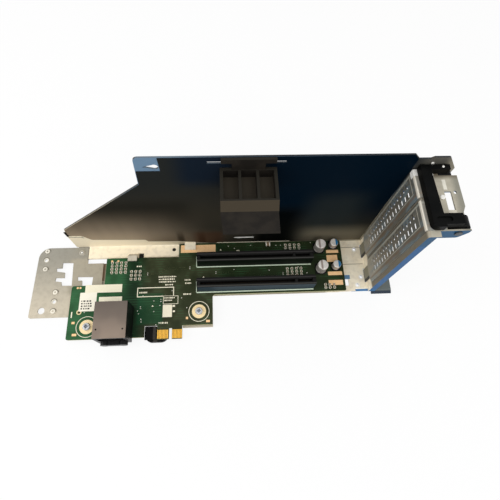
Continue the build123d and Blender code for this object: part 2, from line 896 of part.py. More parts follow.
# Guide block: sits under the board, its rib fills the notch, its nose is round
with BuildPart() as guide_block:
    guide_left = notch_left + guide_clear
    with BuildSketch(Plane.XY.offset(tray_bottom)) as guide:
        with Locations((guide_left, guide_near)):
            Rectangle(guide_w, guide_far - guide_near, align=(Align.MIN, Align.MIN))
        nose = [(guide_left, guide_near), (guide_left + guide_w, guide_near)]
        corners(guide, nose, guide_nose_r)
    extrude(amount=-board_t - tray_bottom)
    notch_w = finger_left - notch_left - 2 * guide_clear
    with BuildSketch(Plane.XZ.offset(-guide_far)) as rib:
        with Locations((guide_left, -board_t)):
            rib_h = board_t + guide_rib_top
            Rectangle(notch_w, rib_h, align=(Align.MIN, Align.MIN))
        crest = [(guide_left, guide_rib_top), (guide_left + notch_w, guide_rib_top)]
        corners(rib, crest, guide_rib_r)
    extrude(amount=guide_far - guide_near - guide_rib_back)
write(guide_block, "guide_block")

# Screws that hold the board on the tray's standoffs
with BuildPart() as board_screws:
    with BuildSketch(Plane.XY):
        with Locations(screw_points):
            Circle(screw_head_d / 2)
    extrude(amount=screw_head_h)
    head_rims = board_screws.edges().filter_by(GeomType.CIRCLE).group_by(Axis.Z)[-1]
    fillet(head_rims, radius=screw_head_r)
    with BuildSketch(Plane.XY.offset(screw_head_h)):
        for x, y in screw_points:
            with Locations((x, y)):
                Rectangle(screw_recess, screw_recess / 4)
                Rectangle(screw_recess / 4, screw_recess)
    extrude(amount=-screw_head_h / 2, mode=Mode.SUBTRACT)
    with BuildSketch(Plane.XY):
        with Locations(screw_points):
            Circle(screw_d / 2)
    extrude(amount=tray_bottom + screw_short)
write(board_screws, "board_screws")

# Rivets through the overlapping sheets
with BuildPart() as rivets:
    with BuildSketch(Plane.XY.offset(plate_top)):
        with Locations(rivet_points):
            Circle(rivet_head_d / 2)
    extrude(amount=rivet_head_h, taper=35)
    with BuildSketch(Plane.XY.offset(plate_top)):
        with Locations(rivet_points):
            Circle(rivet_d / 2)
    extrude(amount=-2 * sheet)
write(rivets, "rivets")


def can(points, diameter, height):
    """A can with a rolled groove above its base and a rounded shoulder."""
    with BuildPart() as cans:
        for x, y in points:
            base = Plane((x, y, can_base_h))
            with BuildSketch(base):
                Circle(diameter / 2)
            extrude(amount=height)
            with BuildSketch(Plane((x, y, can_base_h + can_groove_z))):
                Circle(diameter / 2)
                Circle(diameter / 2 - can_groove, mode=Mode.SUBTRACT)
            extrude(amount=can_groove_h, mode=Mode.SUBTRACT)
        rims = cans.edges().filter_by(GeomType.CIRCLE).group_by(Axis.Z)[-1]
        fillet(rims, radius=can_base_over * 2)
    return cans


def can_base(points, diameter):
    """The moulded square foot of a can, its two corners cut on one side."""
    with BuildPart() as bases:
        side = diameter + 2 * can_base_over
        for x, y in points:
            with BuildSketch(Plane((x, y, 0))):
                Rectangle(side, side)
            extrude(amount=can_base_h)
        uprights = bases.edges().filter_by(Axis.Z).group_by(Axis.X)
        chamfer(uprights[-1], length=diameter / 6)
    return bases


write(can([can_far, can_near], can_d, can_h), "large_capacitors")
write(can_base([can_far, can_near], can_d), "large_capacitor_feet")
write(can([small_far], small_d, small_h), "small_capacitor_far")
write(can([small_near], small_d, small_h), "small_capacitor_near")
write(can_base([small_far], small_d), "small_capacitor_far_foot")
write(can_base([small_near], small_d), "small_capacitor_near_foot")

# Chip components in their rows, and one small block beside the far slot
with BuildPart() as chip_parts:
    for x, y, pitch_x, pitch_y, count_x, count_y in chip_rows:
        with BuildSketch(Plane.XY):
            with Locations((x, y)):
                with GridLocations(pitch_x, pitch_y, count_x, count_y):
                    Rectangle(chip_len, chip_w)
        extrude(amount=chip_h)
    with BuildSketch(Plane.XY):
        with Locations(chip_block):
            Rectangle(chip_block_w, chip_block_len)
    extrude(amount=chip_block_h)
write(chip_parts, "chip_parts")

# Card support: three channels open at the top, a tab on the wall and two snap lugs
sup_back = film_in
sup_right = sup_left + sup_w
pocket_floor = sup_top - sup_pocket_depth
with BuildPart() as card_support:
    with BuildSketch(Plane.YZ.offset(sup_left)) as side:
        with BuildLine():
            Polyline(
                (sup_back, sup_low_z),
                (sup_back, sup_top),
                (sup_nose_y, sup_top),
                (sup_nose_y - sup_brow_y, sup_top - sup_brow_z),
                (sup_low_y, sup_low_z),
                close=True,
            )
        make_face()
        corners(side, [(sup_nose_y, sup_top)], sup_nose_r)
    extrude(amount=sup_w + sup_flare_right)
    # the left side leans in and the right side leans out towards the bottom
    with BuildSketch(Plane.XZ.offset(-sup_back)):
        with BuildLine():
            Polyline(
                (sup_left + sup_flare_left, sup_low_z),
                (sup_left, pocket_floor),
                (sup_left, sup_top),
                (sup_right, sup_top),
                (sup_right, pocket_floor),
                (sup_right + sup_flare_right, sup_low_z),
                close=True,
            )
        make_face()
    extrude(amount=sup_back - sup_low_y, mode=Mode.INTERSECT)
    # hollow from below under the channels' floor
    with BuildSketch(Plane.YZ.offset(sup_left + sup_wall + sup_flare_left)):
        with BuildLine():
            Polyline(
                (sup_back - sup_wall, sup_low_z),
                (sup_back - sup_wall, pocket_floor - sup_wall),
                (sup_nose_y - sup_brow_y + sup_wall, pocket_floor - sup_wall),
                (sup_low_y + sup_wall, sup_low_z),
                close=True,
            )
        make_face()
    extrude(amount=sup_w - sup_flare_left - 2 * sup_wall, mode=Mode.SUBTRACT)
    pocket_near = sup_nose_y + sup_front_wall
    with BuildSketch(Plane.XY.offset(sup_top)):
        with Locations((sup_left + sup_w / 2, (pocket_near + sup_back - sup_wall) / 2)):
            with GridLocations(sup_pocket_pitch, 1, 3, 1):
                Rectangle(sup_pocket_w, sup_back - sup_wall - pocket_near)
    extrude(amount=-sup_pocket_depth, mode=Mode.SUBTRACT)
    # tab on the wall's inner face: a neck between the two slots, wide above them
    tab_top = wall_top - sup_tab_gap
    tab_mid = sup_left + sup_w / 2
    head_low = sup_slot_z + sup_slot_h / 2 + sup_tab_gap
    with BuildSketch(Plane.XZ.offset(-sup_back)):
        with Locations((tab_mid, sup_top - sup_tab_low)):
            neck_h = tab_top - sup_top + sup_tab_low
            Rectangle(sup_tab_neck, neck_h, align=(Align.CENTER, Align.MIN))
        with Locations((tab_mid, head_low)):
            Rectangle(sup_tab_w, tab_top - head_low, align=(Align.CENTER, Align.MIN))
    extrude(amount=sup_tab_t)
    # snap lugs through the slots, their barbs behind the wall
    lug_low = sup_slot_z - sup_slot_h / 2 + snap_clear
    lug_top = sup_slot_z + sup_slot_h / 2 - snap_clear
    barb_in = wall_out + snap_clear
    lug_gap = sup_slot_under - snap_w
    for left in (neck_left + lug_gap / 2, neck_right - lug_gap / 2 - snap_w):
        with BuildSketch(Plane.YZ.offset(left)):
            with BuildLine():
                Polyline(
                    (sup_back, lug_low),
                    (barb_in + snap_t, lug_low),
                    (barb_in + snap_t, lug_top),
                    (barb_in, lug_top + snap_up),
                    (barb_in, lug_top),
                    (sup_back, lug_top),
                    close=True,
                )
            make_face()
        extrude(amount=snap_w)
write(card_support, "card_support")

# Retention latch: bar over the card bracket tabs, two arms down to the hinge line
with BuildPart() as retention_latch:
    with BuildSketch(Plane.XY.offset(latch_low)) as bar:
        with BuildLine():
            Polyline(
                (latch_left, latch_near),
                (latch_right, latch_near),
                (latch_left + latch_bar_far_w, latch_far),
                (latch_left, latch_far),
                close=True,
            )
        make_face()
        reach = hinge_x - latch_left
        with Locations((latch_left, arm_near_low)):
            width = arm_near_high - arm_near_low
            Rectangle(reach, width, align=(Align.MIN, Align.MIN))
        with Locations((latch_left, latch_far)):
            Rectangle(reach, arm_far_w, align=(Align.MIN, Align.MAX))
        corners(bar, [(latch_left, latch_near)], latch_grip_r)
    extrude(amount=latch_h)
    # pivot eyes hang from the arms into the ledge's cut-outs
    arms = [
        (arm_near_low, arm_near_high, eye_near_r),
        (latch_far - arm_far_w, latch_far, eye_far_r),
    ]
    for low, high, radius in arms:
        with BuildSketch(Plane.XZ.offset(-high)):
            with Locations((hinge_x, hinge_z)):
                Circle(radius)
            with Locations((hinge_x - radius, hinge_z)):
                Rectangle(radius, latch_top - hinge_z, align=(Align.MIN, Align.MIN))
        extrude(amount=high - low)
    with BuildSketch(Plane.XZ.offset(-latch_far)):
        with Locations((hinge_x, hinge_z)):
            Circle(hinge_pin_d / 2)
    extrude(amount=latch_far - latch_near, mode=Mode.SUBTRACT)
    # shallow finger recess on the near grip
    with BuildSketch(Plane.XY.offset(latch_top)):
        with Locations((latch_left + recess_x, arm_near_low + recess_y)):
            SlotOverall(recess_len, recess_w)
    extrude(amount=-recess_depth, mode=Mode.SUBTRACT)
write(retention_latch, "retention_latch")


def hinge_pin(start_y, end_y, head_y):
    """A headed pin on the hinge line."""
    with BuildPart() as pin:
        with BuildSketch(Plane.XZ.offset(-start_y)):
            with Locations((hinge_x, hinge_z)):
                Circle(hinge_pin_d / 2)
        extrude(amount=start_y - end_y)
        with BuildSketch(Plane.XZ.offset(-head_y)):
            with Locations((hinge_x, hinge_z)):
                Circle(hinge_head_d / 2)
        extrude(amount=hinge_head_t)
    return pin


far_head_y = wall_out + hinge_play + hinge_head_t
near_head_y = ledge_near - sheet - hinge_play
write(hinge_pin(wall_out + hinge_play, latch_far - arm_far_w, far_head_y), "hinge_pin_far")
write(hinge_pin(arm_near_high, near_head_y, near_head_y), "hinge_pin_near")
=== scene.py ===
import json
import math
import random

import bpy
from mathutils import Euler, Matrix, Vector


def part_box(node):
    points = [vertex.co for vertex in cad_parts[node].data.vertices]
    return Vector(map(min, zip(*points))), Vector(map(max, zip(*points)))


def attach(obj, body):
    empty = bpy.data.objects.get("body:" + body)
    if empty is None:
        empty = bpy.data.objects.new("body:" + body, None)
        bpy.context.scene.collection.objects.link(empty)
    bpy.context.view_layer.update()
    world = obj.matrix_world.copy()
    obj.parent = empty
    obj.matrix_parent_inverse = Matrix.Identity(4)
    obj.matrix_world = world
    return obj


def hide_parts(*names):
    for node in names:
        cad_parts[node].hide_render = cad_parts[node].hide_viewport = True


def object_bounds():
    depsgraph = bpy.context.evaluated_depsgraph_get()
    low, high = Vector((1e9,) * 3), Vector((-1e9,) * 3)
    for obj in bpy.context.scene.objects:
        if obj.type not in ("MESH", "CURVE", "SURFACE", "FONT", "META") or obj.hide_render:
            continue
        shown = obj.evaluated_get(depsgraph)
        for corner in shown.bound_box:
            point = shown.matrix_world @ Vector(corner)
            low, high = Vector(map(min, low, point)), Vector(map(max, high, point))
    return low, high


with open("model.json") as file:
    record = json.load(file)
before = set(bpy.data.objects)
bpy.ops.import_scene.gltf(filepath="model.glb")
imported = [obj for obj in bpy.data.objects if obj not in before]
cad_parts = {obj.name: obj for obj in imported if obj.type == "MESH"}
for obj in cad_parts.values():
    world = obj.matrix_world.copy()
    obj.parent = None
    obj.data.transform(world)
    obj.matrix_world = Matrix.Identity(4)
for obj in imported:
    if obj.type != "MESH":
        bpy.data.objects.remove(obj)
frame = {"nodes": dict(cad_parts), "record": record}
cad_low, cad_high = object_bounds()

# Places and lengths below are in millimetres in the riser's own frame.
# The origin is on the board's top face at the far slot's outer end.
MM = 0.001
dice = random.Random(11)

BOARD_TOP = 0.0
SLOT_PLANES = (0.0, -20.32)
COVER_MIDDLES = (6.36, -13.96)
SCREW_PLACES = [(1.1, -39.1), (-79.6, -47.8)]
RIVET_PLACES = [(-90.2, 11.2), (105.5, -22.5), (105.5, 13.2)]

# Thickness of printed ink, plating and paper, and the width of a printed line.
INK = 0.04
PLATING = 0.05
PAPER = 0.12
SILK_LINE = 0.45


# Materials

class Signal:
    """One socket of a node tree, with plain arithmetic on it."""

    def __init__(self, nodes, socket):
        self.nodes = nodes
        self.socket = socket

    def math(self, operation, first, second=0.0):
        return self.nodes.node("ShaderNodeMath", {"operation": operation}, {0: first, 1: second})

    def __add__(self, other):
        return self.math("ADD", self, other)

    __radd__ = __add__

    def __sub__(self, other):
        return self.math("SUBTRACT", self, other)

    def __rsub__(self, other):
        return self.math("SUBTRACT", other, self)

    def __mul__(self, other):
        return self.math("MULTIPLY", self, other)

    __rmul__ = __mul__

    def __truediv__(self, other):
        return self.math("DIVIDE", self, other)

    def above(self, low, high):
        """0 under low, 1 over high, smooth between."""
        settings = {"interpolation_type": "SMOOTHSTEP"}
        return self.nodes.node("ShaderNodeMapRange", settings, {0: self, 1: low, 2: high})

    def between(self, low, high, soft):
        """1 from low to high, falling to 0 over the soft width outside."""
        return self.above(low - soft, low) * (1 - self.above(high, high + soft))

    def distance(self, other):
        """How far the value lies from another, without sign."""
        return self.math("ABSOLUTE", self - other)


class Nodes:
    """A node tree whose nodes all come from one method."""

    def __init__(self, tree):
        self.tree = tree

    def feed(self, socket, value):
        if isinstance(value, Signal):
            self.tree.links.new(value.socket, socket)
        elif isinstance(value, tuple) and len(value) == 3 and socket.type == "RGBA":
            socket.default_value = (*value, 1.0)
        else:
            socket.default_value = value

    def node(self, kind, settings=None, inputs=None, output=0):
        made = self.tree.nodes.new(kind)
        for setting, value in (settings or {}).items():
            setattr(made, setting, value)
        for socket, value in (inputs or {}).items():
            self.feed(made.inputs[socket], value)
        return Signal(self, made.outputs[output])

    def mix(self, first, second, share):
        return self.node("ShaderNodeMix", {"data_type": "RGBA"}, {0: share, 6: first, 7: second}, 2)

    def parts(self, vector):
        """The three components of a vector."""
        separate = "ShaderNodeSeparateXYZ"
        return [self.node(separate, inputs={"Vector": vector}, output=axis) for axis in "XYZ"]

    def sight(self):
        """1 on rays that end at the camera straight, off a mirror or through glass."""
        straight = self.node("ShaderNodeLightPath", output="Is Camera Ray")
        mirrored = self.node("ShaderNodeLightPath", output="Is Glossy Ray")
        through = self.node("ShaderNodeLightPath", output="Is Transmission Ray")
        either = straight.math("MAXIMUM", straight, mirrored)
        return either.math("MAXIMUM", either, through)


class Finish(Nodes):
    """A material on one principled shader, built from the piece's own coordinates."""

    def __init__(self, name, **constants):
        self.material = bpy.data.materials.new(name)
        self.material.use_nodes = True
        super().__init__(self.material.node_tree)
        self.shader = self.tree.nodes["Principled BSDF"]
        for socket, value in constants.items():
            self.feed(self.shader.inputs[socket.replace("_", " ")], value)
        self.place = self.node("ShaderNodeTexCoord", output="Object")
        self.x, self.y, self.z = [part / MM for part in self.parts(self.place)]
        facing = self.node("ShaderNodeTexCoord", output="Normal")
        self.side_x, self.side_y, self.side_z = self.parts(facing)

    def noise(self, size, detail=3.0, stretch=(1.0, 1.0, 1.0)):
        """Mottling whose spots are about size millimetres across."""
        scaled = self.node("ShaderNodeMapping", inputs={"Vector": self.place, "Scale": stretch})
        values = {"Vector": scaled, "Scale": 1.0 / (size * MM), "Detail": detail}
        return self.node("ShaderNodeTexNoise", inputs=values)

    def patch(self, tone, colour, x=None, y=None, z=None, soft=1.5, share=1.0):
        """Lays a colour over the tone inside a box of the riser, in millimetres."""
        mask = share
        for place, span in ((self.x, x), (self.y, y), (self.z, z)):
            if span:
                mask = place.between(*span, soft) * mask
        return self.mix(tone, colour, mask)

    def reach(self, x, y):
        """Distance in millimetres from an upright line through x, y."""
        across, along = self.x - x, self.y - y
        square = across * across + along * along
        return square.math("SQRT", square)

    def colour(self, value):
        self.feed(self.shader.inputs["Base Color"], value)

    def roughness(self, value):
        self.feed(self.shader.inputs["Roughness"], value)

    def bump(self, height, depth):
        """Raises the surface by depth millimetres where height is 1."""
        values = {"Height": height, "Distance": depth * MM, "Strength": 1.0}
        self.feed(self.shader.inputs["Normal"], self.node("ShaderNodeBump", inputs=values))


def paint(red, green, blue):
    """A colour as seen, 0 to 255, in the linear values that the shader takes."""
    linear = []
    for part in (red, green, blue):
        level = part / 255
        linear.append(level / 12.92 if level <= 0.04045 else ((level + 0.055) / 1.055) ** 2.4)
    return tuple(linear)


PRESSED_DIMPLES = [(-116.6, 13.0), (-116.3, -1.7), (-106.4, -20.3), (-106.2, -34.8)]
PIERCED_DIMPLES = [(-116.6, 5.8), (-106.5, -27.4)]
BASE_HOLES = [(125.8, 8.3), (128.0, -15.2), (124.3, -21.7)]
BASE_SCRIBE_LINES = (-4.2, 10.2)
FLANGE_HOLE = (-18.9, 12.2)
CREAM = paint(250, 238, 212)


def left_plate_tone(sheet):
    """The left plate is darker towards the wall, and has pressed and pierced dimples."""
    tone = sheet.mix(paint(150, 146, 134), paint(198, 188, 168), sheet.y.above(13.0, -38.0))
    tone = sheet.patch(tone, paint(168, 160, 142), x=(-96.0, -68.0), y=(-20.0, 4.0), soft=4.0)
    # painted on each dimple: a highlight ring and shade on its far side
    for x, y in PRESSED_DIMPLES + PIERCED_DIMPLES:
        reach = sheet.reach(x, y)
        shade = reach.between(1.9, 2.4, 0.3) * sheet.y.above(y - 1.0, y + 1.4)
        tone = sheet.mix(tone, paint(112, 106, 92), shade * 0.8)
        tone = sheet.mix(tone, paint(250, 244, 228), reach.between(0.9, 1.6, 0.3) * 0.75)
    # the pierced ones get painted shade in their open middle
    for x, y in PIERCED_DIMPLES:
        tone = sheet.mix(tone, paint(92, 88, 78), 1 - sheet.reach(x, y).above(0.5, 0.8))
    return tone


def foot_flange_tone(sheet, tone):
    """A painted shadow line beside the board's notch, then the wall's cream foot flange."""
    # painted shadow line along the left plate's edge
    tone = sheet.patch(tone, paint(120, 98, 78), x=(-72.9, -71.4), y=(-12.0, 4.0), soft=0.2)
    tone = sheet.patch(tone, paint(244, 234, 206), x=(-70.6, -69.4), y=(-14.0, 4.0), soft=0.2)
    tone = sheet.patch(tone, CREAM, x=(-84.9, 2.0), y=(5.4, 19.0), z=(-6.0, 2.0), soft=0.15)
    # the flange's joint, its edge, its hole and the dark gap by the first hook
    joint = paint(206, 198, 180)
    tone = sheet.patch(tone, joint, x=(-54.0, -46.6), y=(1.0, 10.0), z=(0.2, 2.0), soft=0.2)
    tone = sheet.patch(tone, paint(52, 46, 36), x=(-85.3, -85.0), y=(5.4, 17.0), soft=0.1)
    tone = sheet.mix(tone, paint(10, 9, 8), 1 - sheet.reach(*FLANGE_HOLE).above(1.3, 1.6))
    gap = paint(12, 11, 9)
    return sheet.patch(tone, gap, x=(-46.2, -42.6), y=(6.0, 9.6), z=(-6.0, 0.1), soft=0.2)


def bracket_base_tone(sheet, tone):
    """The base under the card brackets, with scribe lines and painted highlights round its holes."""
    broad = sheet.noise(12.0, 2.0)
    base = sheet.mix(paint(246, 233, 208), paint(255, 246, 224), broad.above(0.3, 0.65))
    tone = sheet.patch(tone, base, x=(100.0, 160.0), z=(-6.0, 5.0), soft=3.0)
    scribe = paint(150, 136, 112)
    for along in BASE_SCRIBE_LINES:
        span = (along - 0.15, along + 0.15)
        tone = sheet.patch(tone, scribe, x=(113.0, 131.0), y=span, soft=0.2)
    # painted highlight rings round the base's holes
    for x, y in BASE_HOLES:
        tone = sheet.mix(tone, paint(255, 252, 244), sheet.reach(x, y).between(1.0, 1.8, 0.3))
    # a painted blue reflection of the bench on the base
    corner = paint(96, 140, 178)
    tone = sheet.patch(tone, corner, x=(115.0, 119.0), y=(-16.4, -13.4), z=(-6.0, -3.0), soft=0.3)
    return sheet.patch(tone, paint(120, 112, 97), x=(131.5, 137.5), z=(9.0, 98.0), soft=4.0)


def ledge_tone(sheet, tone):
    """The ledge is lightest in its middle, with raised bright fields, and the foot is dull."""
    ledge = sheet.mix(paint(180, 174, 157), paint(136, 134, 122), sheet.x.above(150.6, 155.6))
    ledge = sheet.mix(ledge, paint(112, 103, 86), sheet.y.above(8.6, 12.2))
    ledge = sheet.patch(ledge, paint(226, 222, 208), x=(147.3, 149.0), y=(2.6, 8.8), soft=0.4)
    ledge = sheet.patch(ledge, paint(214, 208, 192), x=(147.0, 151.0), y=(-14.6, -11.0), soft=0.6)
    tone = sheet.patch(tone, ledge, x=(134.0, 160.0), z=(97.0, 103.0), soft=0.8)
    return sheet.patch(tone, paint(92, 100, 100), x=(134.2, 155.0), z=(-6.0, -2.0), soft=0.5)


def bench_light_tone(sheet, tone, front, wall):
    """The bracket's faces towards the front carry the bench's blue light."""
    low = 1 - sheet.z.above(-3.0, 6.0)
    blue = sheet.mix(paint(22, 84, 134), paint(56, 112, 160), low)
    blue = sheet.patch(blue, paint(20, 78, 116), z=(88.0, 103.0))
    tone = sheet.mix(tone, blue, front * (1 - wall) * sheet.x.above(118.0, 121.0))
    lip = 1 - sheet.z.above(-3.6, -3.1)
    base_lip = paint(56, 112, 160)
    tone = sheet.patch(tone, base_lip, x=(119.0, 134.0), y=(-27.5, -24.4), soft=0.4, share=lip)
    return sheet.patch(tone, paint(34, 46, 60), x=(134.2, 155.0), y=(-32.0, -25.9), share=lip)


def rear_wall_tone(sheet, tone, front, wall, spangle):
    """The rear wall: cream foot, a painted blue reflection on the tab, dark ear, dark cut edges and a grey
    back.
    """
    high = sheet.z.above(60.0, 84.0)
    inner = sheet.mix(CREAM, paint(168, 160, 138), sheet.x.above(-60.0, 10.0))
    inner = sheet.patch(inner, paint(255, 254, 248), x=(27.0, 46.0), z=(5.0, 12.0), soft=0.5)
    # painted blue reflection of the bench high on the wall's front and on its tab
    inner = sheet.mix(inner, paint(106, 134, 160), high)
    inner = sheet.mix(inner, paint(70, 92, 112), sheet.x.above(-14.0, 6.0) * high)
    ear = sheet.mix(paint(26, 31, 34), paint(92, 90, 83), sheet.x.above(129.0, 140.0))
    ear = sheet.mix(ear, paint(142, 135, 117), sheet.x.above(147.0, 153.0))
    inner = sheet.mix(inner, ear, sheet.x.above(60.0, 127.0) * high)
    tone = sheet.mix(tone, inner, front * wall)
    edge = sheet.side_z.above(0.4, 0.8) * sheet.z.above(60.0, 80.0)
    rim = sheet.mix(paint(98, 112, 124), paint(30, 34, 38), sheet.x.above(-10.0, 40.0))
    tone = sheet.mix(tone, rim, edge * wall)
    tone = sheet.mix(tone, paint(58, 54, 47), wall * sheet.side_x.above(-0.3, -0.6))
    back = sheet.mix(paint(176, 172, 163), paint(148, 145, 137), spangle.above(0.4, 0.7) * 0.6)
    return sheet.mix(tone, back, sheet.side_y.above(0.5, 0.9))


def zinc_sheet():
    """Zinc coated sheet: warm grey to cream, faint spangle, blue light on what faces the front."""
    sheet = Finish("zinc_sheet", Metallic=0.1, Specular_IOR_Level=0.25)
    spangle = sheet.noise(3.5, 2.0)
    fine = sheet.noise(0.5, 3.0)
    front = 1 - sheet.side_y.above(-0.9, -0.6)
    wall = sheet.y.above(15.8, 16.2)
    tone = left_plate_tone(sheet)
    tone = foot_flange_tone(sheet, tone)
    tone = bracket_base_tone(sheet, tone)
    tone = ledge_tone(sheet, tone)
    tone = sheet.mix(tone, paint(112, 106, 92), spangle.above(0.42, 0.7) * 0.14)
    tone = sheet.mix(tone, paint(252, 246, 230), fine.above(0.55, 0.85) * 0.14)
    tone = bench_light_tone(sheet, tone, front, wall)
    tone = rear_wall_tone(sheet, tone, front, wall, spangle)
    sheet.colour(tone)
    sheet.roughness(0.42 + spangle * 0.12 + fine * 0.08)
    sheet.bump(fine + spangle, 0.01)
    return sheet.material


def cover_sheet():
    """Card bracket steel: brushed along its length, brownish grey with blue patches."""
    sheet = Finish("cover_sheet", Metallic=0.12, Specular_IOR_Level=0.3)
    grain = sheet.noise(0.6, 3.0, (1.0, 1.0, 0.06))
    mottle = sheet.noise(5.0, 2.0, (1.0, 1.0, 0.4))
    tone = sheet.mix(paint(122, 114, 100), paint(98, 97, 90), sheet.z.above(30.0, 96.0))
    tone = sheet.mix(tone, paint(166, 160, 146), (1 - sheet.z.above(14.0, 44.0)) * 0.8)
    tone = sheet.mix(tone, paint(112, 132, 142), mottle.above(0.44, 0.66) * 0.55)
    tone = sheet.mix(tone, paint(160, 152, 134), grain.above(0.5, 0.8) * 0.35)
    for middle in COVER_MIDDLES:
        far_edge = sheet.y.between(middle + 7.4, middle + 8.2, 0.5)
        tone = sheet.mix(tone, paint(160, 162, 152), far_edge * 0.7)
        # a painted brown reflection along each bracket's rib
        rib = sheet.y.between(middle - 6.6, middle - 5.8, 0.6)
        tone = sheet.mix(tone, paint(118, 92, 68), rib * 0.6)
        # the tongue dips into its slot, in painted shade: dull green grey, with a darker shaded near end
        tongue = sheet.y.between(middle - 5.2, middle + 5.2, 0.2) * (1 - sheet.z.above(5.5, 7.5))
        tone = sheet.mix(tone, paint(128, 124, 104), tongue)
        tone = sheet.mix(tone, paint(22, 21, 18), tongue * (1 - sheet.y.above(middle - 3.6, middle - 2.8)))
    divider = sheet.y.between(-4.9, -3.3, 0.5) * sheet.z.above(8.0, 12.0)
    tone = sheet.mix(tone, paint(34, 32, 28), divider * 0.7)
    # painted highlight along the top bend
    bend_highlight = sheet.z.above(98.9, 99.8) * sheet.side_x.above(0.3, -0.5)
    tone = sheet.mix(tone, paint(224, 217, 202), bend_highlight)
    # painted highlight at the far bracket's top far corner
    tone = sheet.patch(tone, paint(246, 244, 238), y=(11.6, 16.6), z=(97.5, 102.0), soft=0.6)
    sheet.colour(tone)
    sheet.roughness(0.36 + grain * 0.16)
    sheet.bump(grain, 0.01)
    return sheet.material


def insulating_film():
    """Black film, near black in the middle, with painted reflections: beige at the low left, navy at the
    top right.
    """
    film = Finish("insulating_film", Specular_IOR_Level=0.005)
    waves = film.noise(26.0, 2.0, (1.0, 1.0, 0.5))
    streaks = film.noise(9.0, 1.0, (1.0, 1.0, 0.05))
    tone = film.mix(paint(48, 45, 38), paint(36, 38, 37), film.z.above(46.0, 96.0))
    # a painted navy reflection at the top, and a darker band across the middle left
    tone = film.patch(tone, paint(14, 27, 42), x=(4.0, 22.0), z=(96.0, 112.0), soft=16.0, share=0.8)
    tone = film.patch(tone, paint(28, 27, 23), x=(-60.0, -10.0), z=(44.0, 60.0), soft=16.0, share=0.6)
    left = 1 - film.x.above(-60.0, 14.0)
    low = 1 - film.z.above(6.0, 62.0)
    # painted beige reflections low on the left and along the foot
    tone = film.mix(tone, paint(152, 136, 115), left * low * (0.8 + streaks * 0.4))
    foot = 1 - film.z.above(2.0, 30.0)
    tone = film.mix(tone, paint(178, 160, 135), foot * left * 0.85)
    tone = film.mix(tone, paint(92, 80, 64), foot * film.x.between(-20.0, 2.0, 30.0) * 0.8)
    # painted shade in the film's low folds
    for middle in (-12.0, 4.0):
        shaded_folds = film.x.between(middle - 1.0, middle + 1.0, 3.0)
        tone = film.mix(tone, paint(40, 34, 26), shaded_folds * (1 - film.z.above(8.0, 28.0)) * 0.8)
    # right of the card support, painted reflections: navy above, brown grey below, one paler upright
    # streak, and darkest just right of the support
    right = film.x.above(34.0, 52.0)
    cool = film.mix(paint(42, 41, 35), paint(3, 17, 29), film.z.above(14.0, 66.0))
    cool = film.patch(cool, paint(34, 40, 40), x=(92.0, 104.0), z=(-4.0, 60.0), soft=24.0, share=0.7)
    cool = film.patch(cool, paint(112, 105, 88), x=(92.0, 122.0), z=(-4.0, 10.0), soft=22.0, share=0.9)
    cool = film.patch(cool, paint(1, 3, 4), x=(50.0, 66.0), z=(-4.0, 46.0), soft=18.0, share=0.9)
    tone = film.mix(tone, cool, right)
    # a painted reddish brown reflection low beside the card support
    tone = film.patch(tone, paint(66, 42, 28), x=(2.0, 16.0), z=(4.0, 16.0), soft=8.0, share=0.6)
    film.colour(tone)
    film.roughness(0.34 + waves * 0.1)
    film.bump(waves, 0.05)
    return film.material


def solder_mask():
    """Green solder mask with olive areas, copper relief under it and a pale sawn edge."""
    mask = Finish("solder_mask", Coat_Weight=0.04, Coat_Roughness=0.25, Specular_IOR_Level=0.08)
    cloud = mask.noise(12.0, 2.0)
    weave = mask.noise(0.35, 2.0)
    tone = mask.mix(paint(42, 80, 49), paint(52, 98, 62), cloud.above(0.35, 0.65))
    tone = mask.mix(tone, paint(23, 45, 26), mask.x.above(-62.0, -48.0))
    tone = mask.mix(tone, paint(40, 76, 46), mask.x.above(-48.0, -34.0) * cloud.above(0.4, 0.6) * 0.8)
    olive = mask.mix(paint(46, 51, 31), paint(62, 64, 44), cloud.above(0.35, 0.65))
    tone = mask.patch(tone, olive, x=(-36.0, 15.0), y=(-60.0, 2.0), soft=10.0, share=0.92)
    tone = mask.patch(tone, paint(26, 72, 44), x=(-43.0, -27.0), y=(-46.0, -26.0), soft=3.0, share=0.75)
    tone = mask.mix(tone, paint(36, 46, 25), mask.x.above(10.0, 26.0) * 0.9)
    wave = {"Vector": mask.place, "Scale": 160.0}
    lanes = mask.node("ShaderNodeTexWave", {"bands_direction": "Y"}, wave, "Fac")
    tone = mask.mix(tone, paint(58, 112, 72), lanes.above(0.7, 0.95) * cloud.above(0.48, 0.62) * 0.3)
    level = mask.side_z.distance(0.0)
    laminate = paint(176, 172, 122)
    tone = mask.mix(laminate, tone, level.above(0.3, 0.7))
    mask.colour(tone)
    mask.roughness(0.36 + weave * 0.12)
    mask.bump(lanes * 0.5 + weave * 0.3, 0.02)
    return mask.material


def latch_moulding():
    """The latch's black moulding, with a fine grain and a soft painted sheen."""
    plastic = Finish("latch_moulding", Specular_IOR_Level=0.05)
    grain = plastic.noise(0.7, 3.0)
    drift = plastic.noise(9.0, 2.0)
    # painted sheen in soft drifts and on the grain
    sheen = drift.above(0.35, 0.75) * 0.6 + grain.above(0.5, 0.9) * 0.25
    plastic.colour(plastic.mix(paint(4, 5, 5), paint(15, 15, 14), sheen))
    plastic.roughness(0.36 + grain * 0.15)
    plastic.bump(grain, 0.012)
    return plastic.material


